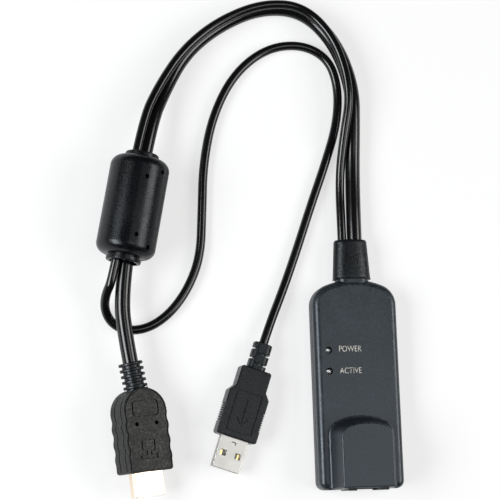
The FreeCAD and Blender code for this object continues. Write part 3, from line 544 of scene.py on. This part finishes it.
FINISHES = (
    MouldedFinish("housing_plastic", (0.015, 0.0185, 0.0225), roughness=0.36, spread=0.2, dust=0.25,
                  grain_scale=1300.0, grain_depth=0.00002, mottle=1.4, specular=0.54,
                  sheen_tint=(0.84, 0.92, 1.0)),
    MouldedFinish("black_plastic", (0.0023, 0.0028, 0.0037), roughness=0.3, spread=0.25, dust=0.25,
                  grain_scale=2000.0, grain_depth=0.00004, mottle=0.8, specular=0.3,
                  sheen_tint=(0.92, 0.97, 1.0)),
    MouldedFinish("grip_plastic", (0.0105, 0.0108, 0.0102), roughness=0.5, spread=0.4, grain_scale=900.0,
                  grain_depth=0.0002, mottle=1.4, specular=0.33),
    MouldedFinish("black_rubber", (0.003, 0.0036, 0.0044), roughness=0.36, spread=0.25, grain_scale=900.0,
                  mottle=0.9, grain_depth=0.00014, specular=0.36, sheen_tint=(0.88, 0.95, 1.0)),
    MouldedFinish("cable_jacket", (0.0026, 0.0027, 0.0031), roughness=0.18, spread=0.05, mottle=0.12,
                  grain_scale=1200.0, grain_depth=0.000004),
    MouldedFinish("ferrite", (0.05, 0.05, 0.052), roughness=0.6, spread=0.06),
    MetalFinish("gold_plate", (0.92, 0.8, 0.64), roughness=0.26),
    MetalFinish("gold_contact", (0.86, 0.68, 0.31), roughness=0.25),
    MetalFinish("bright_steel", (0.51, 0.497, 0.468), roughness=0.32, mottle=0.45, spread=0.3),
    MetalFinish("screw_steel", (0.5, 0.5, 0.51), roughness=0.35),
    MetalFinish("bright_can", (0.72, 0.72, 0.73), roughness=0.3),
    MouldedFinish("board", (0.02, 0.12, 0.045), roughness=0.3, mottle=0.5),
    MouldedFinish("chip_plastic", (0.02, 0.02, 0.021), roughness=0.5),
    LampFinish("lamp_clear", (0.86, 0.88, 0.86)),
    MouldedFinish("pale_plastic", (0.78, 0.78, 0.74), roughness=0.4, mottle=0.06),
    MouldedFinish("wire_sleeve", (0.35, 0.12, 0.08), roughness=0.35),
    MouldedFinish("legend_ink", (0.55, 0.53, 0.48), roughness=0.5, mottle=0.2),
)


@dataclass
class Palette:
    """All finishes of the lead, by name."""

    groups: GroupLibrary = field(default_factory=GroupLibrary)
    made: dict[str, bpy.types.Material] = field(default_factory=dict)

    def build(self) -> "Palette":
        """Builds every finish and returns the palette."""
        for finish in FINISHES:
            self.made[finish.name] = finish.build(self.groups)
        return self

    def dress_nodes(self) -> None:
        """Gives each CAD node the finish of its record's material slot."""
        for entry in frame["record"]["subparts"]:
            dress(frame["nodes"][entry["node"]], self.made[entry["material_slot"]])


# Cables

@dataclass
class Lead:
    """One cable, with the route of its centreline and what is on it."""

    name: str
    route: tuple[Point, ...]
    diameter: float
    length: float
    exit: Point
    node: str
    pieces: tuple[str, ...]
    steps: int = 24
    round_steps: int = 12
    order: int = 3

    def build(self, palette: Palette, cut: dict[str, bpy.types.Object]) -> bpy.types.Object:
        """Lays the cable as one smooth spline with the route's points as its control points.

        Args:
            palette: the finishes.
            cut: the piece that stands for each plug node whose looks the scene changes.

        Returns:
            The cable's curve object.
        """
        curve = bpy.data.curves.new(self.name, "CURVE")
        curve.dimensions = "3D"
        curve.resolution_u = self.steps
        curve.bevel_depth = self.diameter / 2
        curve.bevel_resolution = self.round_steps
        curve.use_fill_caps = True
        spline = curve.splines.new("NURBS")
        spline.points.add(len(self.route) - 1)
        for point, place in zip(spline.points, self.route):
            point.co = (*place, 1.0)
        spline.order_u = self.order
        spline.use_endpoint_u = True
        cable = bpy.data.objects.new(self.name, curve)
        bpy.context.scene.collection.objects.link(cable)
        dress(cable, palette.made["cable_jacket"])
        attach(cable, "root")
        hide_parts(self.node)
        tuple(self.exit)
        [cut.get(n, frame["nodes"][n]) for n in self.pieces]
        log.info("%s laid", self.name)
        return cable


VIDEO_LEAD = Lead(
    name="video_lead",
    route=((0.0019, 0.029, 0.0052), (0.0019, 0.056, 0.0052), (0.0028, 0.083, 0.0035),
           (0.0035, 0.102, 0.005), (0.0041, 0.1206, 0.0054), (-0.0027, 0.1412, 0.0044),
           (-0.0164, 0.1556, 0.0034), (-0.0353, 0.1565, 0.0033), (-0.0545, 0.1476, 0.0033),
           (-0.0692, 0.1348, 0.0034), (-0.0786, 0.1176, 0.0056), (-0.08568, 0.10069, 0.0104),
           (-0.09916, 0.032, 0.0104), (-0.09653, 0.00749, 0.01002), (-0.09277, -0.01092, 0.00922)),
    diameter=0.0064, length=0.342, exit=(0.0019, 0.05265, 0.0052), node="video_cable",
    pieces=("ferrite_cover", "ferrite_core", "video_plug_grip", "video_plug_relief", "video_plug_shell",
            "video_plug_tongue", "video_plug_contacts"))
DATA_LEAD = Lead(
    name="data_lead",
    route=((-0.0034, 0.029, 0.0052), (-0.0034, 0.056, 0.0052), (-0.0031, 0.08, 0.0034),
           (-0.0014, 0.098, 0.0083), (0.0019, 0.117, 0.0111), (-0.0036, 0.1405, 0.0102),
           (-0.0168, 0.1556, 0.0089), (-0.0351, 0.1565, 0.0088), (-0.0548, 0.148, 0.0087),
           (-0.07, 0.1352, 0.009), (-0.0812, 0.1183, 0.0118), (-0.08921, 0.10138, 0.0143),
           (-0.10211, 0.03564, 0.0143), (-0.1048, 0.0298, 0.0088), (-0.105, 0.0244, 0.0041),
           (-0.1023, 0.019, 0.002), (-0.0965, 0.0155, 0.002), (-0.0871, 0.0162, 0.002),
           (-0.0778, 0.0222, 0.002), (-0.0696, 0.033, 0.002), (-0.0641, 0.047, 0.002),
           (-0.063, 0.066, 0.002), (-0.0619, 0.087, 0.002), (-0.0572, 0.108, 0.002),
           (-0.0475, 0.1265, 0.002), (-0.0332, 0.1382, 0.002), (-0.0175, 0.1406, 0.002),
           (-0.0055, 0.1345, 0.002), (-0.0014, 0.1215, 0.002), (-0.0027, 0.105, 0.002),
           (-0.0087, 0.087, 0.002), (-0.0158, 0.0685, 0.002), (-0.0222, 0.0505, 0.002),
           (-0.0289, 0.033, 0.0022), (-0.03717, 0.01453, 0.00475), (-0.04338, -0.00353, 0.00475)),
    diameter=0.0038, length=0.647, exit=(-0.0034, 0.05265, 0.0052), node="data_cable",
    pieces=("data_plug_grip", "data_plug_relief", "data_plug_shell", "data_plug_tongue",
            "data_plug_contacts"))


# Housing

@dataclass
class HousingMarks:
    """Printed lamp legends on the housing's top face."""

    face_height: float = 0.0104
    ink_thickness: float = 0.000012
    cap_height: float = 0.00245
    left: float = -0.0079
    stroke_trim: float = -0.00004
    type_size: float = 0.01
    curve_steps: int = 6
    legends: tuple[tuple[str, float, float], ...] = (("POWER", 0.006, 0.0096), ("ACTIVE", -0.0031, 0.0093))

    def build(self, palette: Palette) -> list[bpy.types.Object]:
        """Prints both legends.

        Args:
            palette: the finishes.

        Returns:
            The legend pieces.
        """
        return [self._legend(word, y, width, palette) for word, y, width in self.legends]

    def _legend(self, word: str, y: float, width: float, palette: Palette) -> bpy.types.Object:
        """Prints one word, scaled to its height and width, beside its lamp."""
        deselect_all()
        bpy.ops.object.text_add()
        text = bpy.context.object
        text.data.body = word
        text.data.size = self.type_size
        text.data.offset = self.stroke_trim
        text.data.resolution_u = self.curve_steps
        bpy.ops.object.convert(target="MESH")
        piece = bpy.context.object
        piece.name = f"legend_{word.lower()}"
        low = [min(v.co[i] for v in piece.data.vertices) for i in range(2)]
        high = [max(v.co[i] for v in piece.data.vertices) for i in range(2)]
        stretch = width / (high[0] - low[0])
        lift = self.cap_height / (high[1] - low[1])
        piece.scale = (stretch, lift, 1.0)
        foot = y - self.cap_height / 2
        piece.location = (self.left - low[0] * stretch, foot - low[1] * lift, self.face_height)
        settle(piece)
        thicken(piece, self.ink_thickness, offset=1.0)
        dress(piece, palette.made["legend_ink"])
        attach(piece, "root")
        log.info("%s printed", piece.name)
        return piece


@dataclass
class LampHearts:
    """Bright reflector cup inside each clear lamp."""

    rim_radius: float = 0.0009
    foot_radius: float = 0.0005
    depth: float = 0.0006
    sheet: float = 0.00012
    below_top: float = 0.0014
    sides: int = 40
    lamps: tuple[str, ...] = ("power_lamp", "active_lamp")

    def build(self, palette: Palette) -> list[bpy.types.Object]:
        """Puts a cup into both lamps.

        Args:
            palette: the finishes.

        Returns:
            The cups.
        """
        return [self._cup(node, palette) for node in self.lamps]

    def _cup(self, node: str, palette: Palette) -> bpy.types.Object:
        """Spins one cup and sets it below its lamp's dome."""
        low, high = (Vector(corner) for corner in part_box(node))
        deselect_all()
        bpy.ops.mesh.primitive_cone_add(vertices=self.sides, radius1=self.foot_radius,
                                        radius2=self.rim_radius, depth=self.depth, end_fill_type="NOTHING",
                                        location=((low.x + high.x) / 2, (low.y + high.y) / 2,
                                                  high.z - self.below_top))
        cup = bpy.context.object
        cup.name = f"{node}_cup"
        with editing():
            bpy.ops.mesh.select_all(action="DESELECT")
        for edge in cup.data.edges:
            edge.select = all(cup.data.vertices[v].co.z < 0 for v in edge.vertices)
        with editing():
            bpy.ops.mesh.edge_face_add()
        settle(cup)
        thicken(cup, self.sheet)
        dress(cup, palette.made["bright_can"])
        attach(cup, "root")
        return cup


@dataclass
class BootSleeve:
    """Moulded boot round both cables, with a crowned section that tapers to its tip."""

    node: str = "cable_boot"
    base: float = 0.03585
    tip: float = 0.05265
    base_half: tuple[float, float] = (0.0081, 0.0051)
    tip_half: tuple[float, float] = (0.00705, 0.0047)
    centre_height: float = 0.0052
    roundness: float = 2.25
    sides: int = 128
    rings: int = 24
    edge: float = 0.0004
    seam: float = 0.000001
    lap: float = 0.0004
    bores: tuple[tuple[float, float], ...] = ((0.0019, 0.00335), (-0.0034, 0.00205))
    bore_length: float = 0.04
    bore_back: float = 0.014
    bore_sides: int = 64

    def build(self, palette: Palette) -> bpy.types.Object:
        """Shapes the sleeve, joins it to the part inside the housing and bores it for both cables.

        Args:
            palette: the finishes.

        Returns:
            The sleeve.
        """
        sleeve = self._body()
        inner = self._inner()
        combine(sleeve, "UNION", inner)
        cutters = [self._bore(x, radius) for x, radius in self.bores]
        for cutter in cutters:
            combine(sleeve, "DIFFERENCE", cutter)
        apply_modifiers(sleeve)
        for helper in (inner, *cutters):
            bpy.data.objects.remove(helper)
        smooth(sleeve, SOFT_DEGREES)
        dress(sleeve, palette.made["black_rubber"])
        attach(sleeve, "root")
        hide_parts(self.node)
        log.info("boot sleeve shaped")
        return sleeve

    def _body(self) -> bpy.types.Object:
        """Pulls a ring of sides into a crowned section at each station along the sleeve."""
        deselect_all()
        bpy.ops.mesh.primitive_grid_add(x_subdivisions=self.sides, y_subdivisions=self.rings, size=2.0)
        body = bpy.context.object
        body.name = "boot_sleeve"
        for vertex in body.data.vertices:
            turn = math.pi * (vertex.co.x + 1)
            share = (vertex.co.y + 1) / 2
            along = self.base + share * (self.tip - self.base)
            near_end = min(along - self.base, self.tip - along)
            short = self.edge - min(near_end, self.edge)
            inset = self.edge - math.sqrt(max(self.edge ** 2 - short ** 2, 0.0))
            half_w = self.base_half[0] + share * (self.tip_half[0] - self.base_half[0]) - inset
            half_h = self.base_half[1] + share * (self.tip_half[1] - self.base_half[1]) - inset
            power = 2.0 / self.roundness
            c, s = math.cos(turn), math.sin(turn)
            vertex.co = (half_w * math.copysign(abs(c) ** power, c), along,
                         self.centre_height + half_h * math.copysign(abs(s) ** power, s))
        select_only(body)
        with editing():
            bpy.ops.mesh.select_all(action="SELECT")
            bpy.ops.mesh.remove_doubles(threshold=self.seam)
            bpy.ops.mesh.select_all(action="DESELECT")
            bpy.ops.mesh.select_non_manifold()
            bpy.ops.mesh.fill_holes(sides=0)
            bpy.ops.mesh.select_all(action="DESELECT")
            bpy.ops.mesh.select_non_manifold()
            bpy.ops.mesh.edge_face_add()
            bpy.ops.mesh.select_all(action="SELECT")
            bpy.ops.mesh.normals_make_consistent(inside=False)
        return body

    def _inner(self) -> bpy.types.Object:
        """Keeps the waist and flange of the boot's own solid, up to just inside the sleeve."""
        inner = copy_of_node(self.node, "boot_inner")
        with editing():
            bpy.ops.mesh.select_all(action="SELECT")
            bpy.ops.mesh.bisect(plane_co=(0, self.base + self.lap, 0), plane_no=(0, 1, 0), clear_outer=True,
                                use_fill=True)
        return inner

    def _bore(self, x: float, radius: float) -> bpy.types.Object:
        """Makes the cutter of one cable's hole."""
        deselect_all()
        bpy.ops.mesh.primitive_cylinder_add(vertices=self.bore_sides, radius=radius, depth=self.bore_length,
                                            location=(x, self.tip - self.bore_back, self.centre_height),
                                            rotation=(math.pi / 2, 0, 0))
        cutter = bpy.context.object
        settle(cutter)
        return cutter


# Plugs

@dataclass(frozen=True)
class Stroke:
    """One straight engraved line on a plug's top face, in the plug's own metres."""

    start: tuple[float, float]
    end: tuple[float, float]
    width: float


@dataclass(frozen=True)
class Outline:
    """One engraved rectangle with round corners, in the plug's own metres."""

    middle: tuple[float, float]
    width: float
    height: float
    corner: float
    line: float


@dataclass
class EngravedGrip:
    """A plug's grip or shell with lines cut into its top face."""

    node: str
    place: PlugPlace
    finish: str
    top: float
    depth: float
    strokes: tuple[Stroke, ...] = ()
    outlines: tuple[Outline, ...] = ()
    rim: float = 0.0
    rim_margin: float = 0.00005
    skin: float = 0.00005
    corner_steps: int = 6

    def build(self, palette: Palette) -> bpy.types.Object:
        """Cuts the lines into a copy of the piece.

        Args:
            palette: the finishes.

        Returns:
            The engraved piece.
        """
        grip = copy_of_node(self.node, f"{self.node}_engraved")
        cutters = [self._bar(stroke) for stroke in self.strokes]
        cutters += [self._ring(outline) for outline in self.outlines]
        if self.rim > 0:
            cutters.append(self._rim_ring(grip))
        deselect_all()
        for cutter in cutters:
            cutter.select_set(True)
        bpy.context.view_layer.objects.active = cutters[0]
        bpy.ops.object.join()
        tool = bpy.context.object
        tool.matrix_world = self.place.matrix()
        settle(tool)
        combine(grip, "DIFFERENCE", tool).use_self = True
        apply_modifiers(grip)
        bpy.data.objects.remove(tool)
        smooth(grip, CRISP_DEGREES)
        dress(grip, palette.made[self.finish])
        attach(grip, "root")
        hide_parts(self.node)
        log.info("%s cut", grip.name)
        return grip

    def _ring(self, outline: Outline) -> bpy.types.Object:
        """Makes the ring that cuts one outline."""
        deselect_all()
        bpy.ops.mesh.primitive_plane_add(size=1.0, location=(*outline.middle, self.top))
        ring = bpy.context.object
        ring.scale = (outline.width + outline.line, outline.height + outline.line, 1.0)
        settle(ring)
        with editing():
            bpy.ops.mesh.select_all(action="SELECT")
            bpy.ops.mesh.bevel(affect="VERTICES", offset=outline.corner + outline.line / 2,
                               segments=self.corner_steps)
            bpy.ops.mesh.select_all(action="SELECT")
            bpy.ops.mesh.inset(thickness=outline.line)
            bpy.ops.mesh.delete(type="FACE")
        thicken(ring, 2 * self.depth, offset=0.0)
        return ring

    def _rim_ring(self, grip: bpy.types.Object) -> bpy.types.Object:
        """Makes the ring that cuts a groove just inside the edge of the grip's flat top."""
        select_only(grip)
        bpy.ops.object.duplicate()
        ring = bpy.context.object
        ring.matrix_world = self.place.matrix().inverted()
        settle(ring)
        with editing():
            bpy.ops.mesh.select_mode(type="FACE")
        for face in ring.data.polygons:
            face.select = face.normal.z < SAME_WAY or face.center.z < self.top - self.skin
        with editing():
            bpy.ops.mesh.delete(type="FACE")
            bpy.ops.mesh.select_all(action="SELECT")
            bpy.ops.mesh.fill_holes(sides=0)
        largest = max(ring.data.polygons, key=lambda face: face.area).index
        for face in ring.data.polygons:
            face.select = face.index != largest
        with editing():
            bpy.ops.mesh.delete(type="FACE")
            bpy.ops.mesh.select_all(action="SELECT")
            bpy.ops.mesh.inset(thickness=self.rim_margin)
            bpy.ops.mesh.select_all(action="INVERT")
            bpy.ops.mesh.delete(type="FACE")
            bpy.ops.mesh.select_all(action="SELECT")
            bpy.ops.mesh.inset(thickness=self.rim)
            bpy.ops.mesh.delete(type="FACE")
            bpy.ops.mesh.select_mode(type="VERT")
        thicken(ring, 2 * self.depth, offset=0.0)
        return ring

    def _bar(self, stroke: Stroke) -> bpy.types.Object:
        """Makes the bar that cuts one line."""
        (x0, y0), (x1, y1) = stroke.start, stroke.end
        length = math.hypot(x1 - x0, y1 - y0) + stroke.width
        deselect_all()
        bpy.ops.mesh.primitive_cube_add(size=1.0, location=((x0 + x1) / 2, (y0 + y1) / 2, self.top),
                                        rotation=(0, 0, math.atan2(y1 - y0, x1 - x0)))
        bar = bpy.context.object
        bar.scale = (length, stroke.width, 2 * self.depth)
        settle(bar)
        return bar


@dataclass
class BentShell:
    """A plug's formed shell, with its outer corners and its mouth bent round."""

    node: str
    place: PlugPlace
    finish: str
    half_width: float
    half_height: float
    mouth: float
    bend: float = 0.0003
    bend_steps: int = 3
    slack: float = 0.00002
    flat_degrees: float = 1.0

    def build(self, palette: Palette) -> bpy.types.Object:
        """Rounds a copy of the shell.

        Args:
            palette: the finishes.

        Returns:
            The rounded shell.
        """
        shell = copy_of_node(self.node, f"{self.node}_bent")
        with editing():
            bpy.ops.mesh.select_all(action="SELECT")
            bpy.ops.mesh.dissolve_limited(angle_limit=math.radians(self.flat_degrees))
            bpy.ops.mesh.select_mode(type="EDGE")
            bpy.ops.mesh.select_all(action="DESELECT")
        to_plug = self.place.matrix().inverted()
        for edge in shell.data.edges:
            edge.select = self._is_outer([to_plug @ shell.data.vertices[v].co for v in edge.vertices])
        with editing():
            bpy.ops.mesh.bevel(offset=self.bend, segments=self.bend_steps)
            bpy.ops.mesh.select_mode(type="VERT")
        smooth(shell, SOFT_DEGREES)
        dress(shell, palette.made[self.finish])
        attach(shell, "root")
        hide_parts(self.node)
        log.info("%s bent", shell.name)
        return shell

    def _is_outer(self, ends: list[Vector]) -> bool:
        """Tells whether an edge, in the plug's own axes, is an outer corner or part of the mouth's rim."""
        outer = all(abs(p.x) > self.half_width - self.slack or abs(p.z) > self.half_height - self.slack
                    for p in ends)
        along = (ends[1] - ends[0]).normalized()
        return outer and (abs(along.y) > SAME_WAY or all(p.y < self.mouth + self.slack for p in ends))


LINE = 0.0005
FINE_LINE = 0.0004
VIDEO_PLACE = PlugPlace((-0.0899, -0.0427, 0.0093), 5.5, 22.0)
DATA_PLACE = PlugPlace((-0.0525, -0.03, 0.00475), -19.0, 3.0)
VIDEO_GRIP = EngravedGrip(
    node="video_plug_grip", place=VIDEO_PLACE, finish="grip_plastic", top=0.0061, depth=0.0007,
    strokes=(Stroke((-0.0013, 0.0068), (-0.0013, 0.0083), LINE),
             Stroke((0.0005, 0.0068), (0.0005, 0.0083), LINE)),
    outlines=(Outline((-0.0004, 0.006), 0.0074, 0.0016, 0.0002, LINE),
              Outline((-0.0004, 0.0106), 0.0056, 0.0042, 0.0005, LINE),
              Outline((0.0, 0.0254), 0.0116, 0.0064, 0.0016, FINE_LINE)),
    rim=0.00035)
DATA_GRIP = EngravedGrip(
    node="data_plug_grip", place=DATA_PLACE, finish="black_plastic", top=0.0042, depth=0.0006,
    strokes=(Stroke((0.0, 0.0054), (0.0, 0.0164), LINE), Stroke((0.0, 0.0054), (-0.0021, 0.0083), LINE),
             Stroke((0.0, 0.0054), (0.0021, 0.0083), LINE)),
    outlines=(Outline((0.0, 0.0109), 0.0108, 0.017, 0.0006, LINE),))
SLEEVE_NOTCH = EngravedGrip(
    node="data_plug_shell", place=DATA_PLACE, finish="bright_steel", top=0.00225, depth=0.0004,
    strokes=(Stroke((-0.0008, -0.0017), (0.0008, -0.0017), FINE_LINE),
             Stroke((0.0008, -0.0017), (0.0008, -0.0026), FINE_LINE)))
VIDEO_SHELL = BentShell(node="video_plug_shell", place=VIDEO_PLACE, finish="gold_plate", half_width=0.007,
                        half_height=0.00225, mouth=-0.0098)


# Stage

@dataclass(frozen=True)
class SoftLamp:
    """An area lamp that faces the middle of the stage."""

    name: str
    offset: Point
    size: tuple[float, float]
    share: float
    colour: Colour

    def hang(self, middle: Point, energy: float) -> None:
        """Hangs the lamp.

        Args:
            middle: the point that it faces.
            energy: the energy of which it gets its share.
        """
        data = bpy.data.lights.new(self.name, "AREA")
        data.shape = "RECTANGLE"
        data.size, data.size_y = self.size
        data.energy = energy * self.share
        data.color = self.colour
        lamp = bpy.data.objects.new(self.name, data)
        bpy.context.scene.collection.objects.link(lamp)
        lamp.location = Vector(middle) + Vector(self.offset)
        lamp.rotation_euler = (-Vector(self.offset)).to_track_quat("-Z", "Y").to_euler()


@dataclass
class Stage:
    """Camera, soft lamps, floor and world."""

    eye: Point = (-0.15189, -0.05298, 0.60158)
    target: Point = (-0.0425, 0.04967, 0.0)
    up: Point = (0.0016, 0.9857, 0.1685)
    lens: float = 104.95
    sensor: float = 36.0
    clip: tuple[float, float] = (0.01, 20.0)
    floor_half: float = 3.0
    floor_drop: float = 0.00012
    floor_paint: float = 0.91
    floor_roughness: float = 0.8
    floor_specular: float = 0.1
    floor_glow: float = 0.64
    mirrored_glow: float = 0.15
    middle: Point = (-0.045, 0.05, 0.0)
    lamp_energy: float = 7.8
    lamps: tuple[SoftLamp, ...] = (
        SoftLamp("left_softbox", (-0.74, -0.1, 0.6), (0.7, 0.42), 1.36, (0.96, 0.98, 1.0)),
        SoftLamp("right_softbox", (0.74, -0.1, 0.6), (0.7, 0.42), 0.74, (1.0, 0.985, 0.965)),
        SoftLamp("overhead_card", (0.28, -0.11, 1.1), (0.5, 0.5), 0.205, (0.97, 0.985, 1.0)))
    world_level: float = 0.025
    mirrored_level: float = 0.035

    def build(self) -> None:
        """Builds the camera, the floor, the lamps and the world."""
        self._camera()
        self._floor()
        for lamp in self.lamps:
            lamp.hang(self.middle, self.lamp_energy)
        self._world()

    def _camera(self) -> None:
        """Sets the camera at the photograph's place."""
        data = bpy.data.cameras.new("photo_camera")
        data.lens = self.lens
        data.sensor_width = self.sensor
        data.clip_start, data.clip_end = self.clip
        camera = bpy.data.objects.new("photo_camera", data)
        bpy.context.scene.collection.objects.link(camera)
        ahead = (Vector(self.target) - Vector(self.eye)).normalized()
        right = ahead.cross(Vector(self.up)).normalized()
        above = right.cross(ahead)
        turn = Matrix((right, above, -ahead)).transposed().to_4x4()
        camera.matrix_world = Matrix.Translation(Vector(self.eye)) @ turn
        bpy.context.scene.camera = camera

    def _floor(self) -> None:
        """Lays a pale floor that stays near white to the camera and keeps soft shadows."""
        deselect_all()
        bpy.ops.mesh.primitive_plane_add(size=2 * self.floor_half, location=(0, 0, -self.floor_drop))
        floor = bpy.context.object
        floor.name = "floor"
        settle(floor)
        material, tree, shader = new_material("pale_floor")
        shader.inputs["Base Color"].default_value = (self.floor_paint, self.floor_paint, self.floor_paint, 1)
        shader.inputs["Roughness"].default_value = self.floor_roughness
        shader.inputs["Specular IOR Level"].default_value = self.floor_specular
        glow = tree.nodes.new("ShaderNodeEmission")
        glow.inputs["Color"].default_value = (1.0, 1.0, 1.0, 1)
        path = tree.nodes.new("ShaderNodeLightPath")
        dimmed = calc(tree, "MULTIPLY", mirrored_ray(tree, path), self.mirrored_glow)
        share = calc(tree, "MULTIPLY_ADD", path.outputs["Is Camera Ray"], self.floor_glow, dimmed)
        mix = tree.nodes.new("ShaderNodeMixShader")
        tree.links.new(share, mix.inputs["Fac"])
        tree.links.new(shader.outputs[0], mix.inputs[1])
        tree.links.new(glow.outputs[0], mix.inputs[2])
        tree.links.new(mix.outputs[0], tree.nodes["Material Output"].inputs["Surface"])
        dress(floor, material)

    def _world(self) -> None:
        """Fills the world with a dim grey that looks white to the camera and pale in metal."""
        world = bpy.data.worlds.new("studio")
        bpy.context.scene.world = world
        world.use_nodes = True
        tree = world.node_tree
        path = tree.nodes.new("ShaderNodeLightPath")
        pale = calc(tree, "MULTIPLY_ADD", mirrored_ray(tree, path), self.mirrored_level - self.world_level,
                    self.world_level)
        level = calc(tree, "MAXIMUM", path.outputs["Is Camera Ray"], pale)
        tree.links.new(level, tree.nodes["Background"].inputs["Strength"])
        tree.nodes["Background"].inputs["Color"].default_value = (1.0, 1.0, 1.0, 1)


def main() -> None:
    """Builds the stage, the finishes and every piece."""
    logging.basicConfig(level=logging.INFO, format="%(name)s: %(message)s")
    bpy.context.scene.view_settings.view_transform = "Standard"
    Stage().build()
    palette = Palette().build()
    palette.dress_nodes()
    log.info("%d nodes dressed", len(frame["nodes"]))
    cut = {piece.node: piece.build(palette) for piece in (VIDEO_GRIP, DATA_GRIP, SLEEVE_NOTCH, VIDEO_SHELL)}
    for lead in (VIDEO_LEAD, DATA_LEAD):
        lead.build(palette, cut)
    HousingMarks().build(palette)
    LampHearts().build(palette)
    BootSleeve().build(palette)


if __name__ == "__main__":
    main()
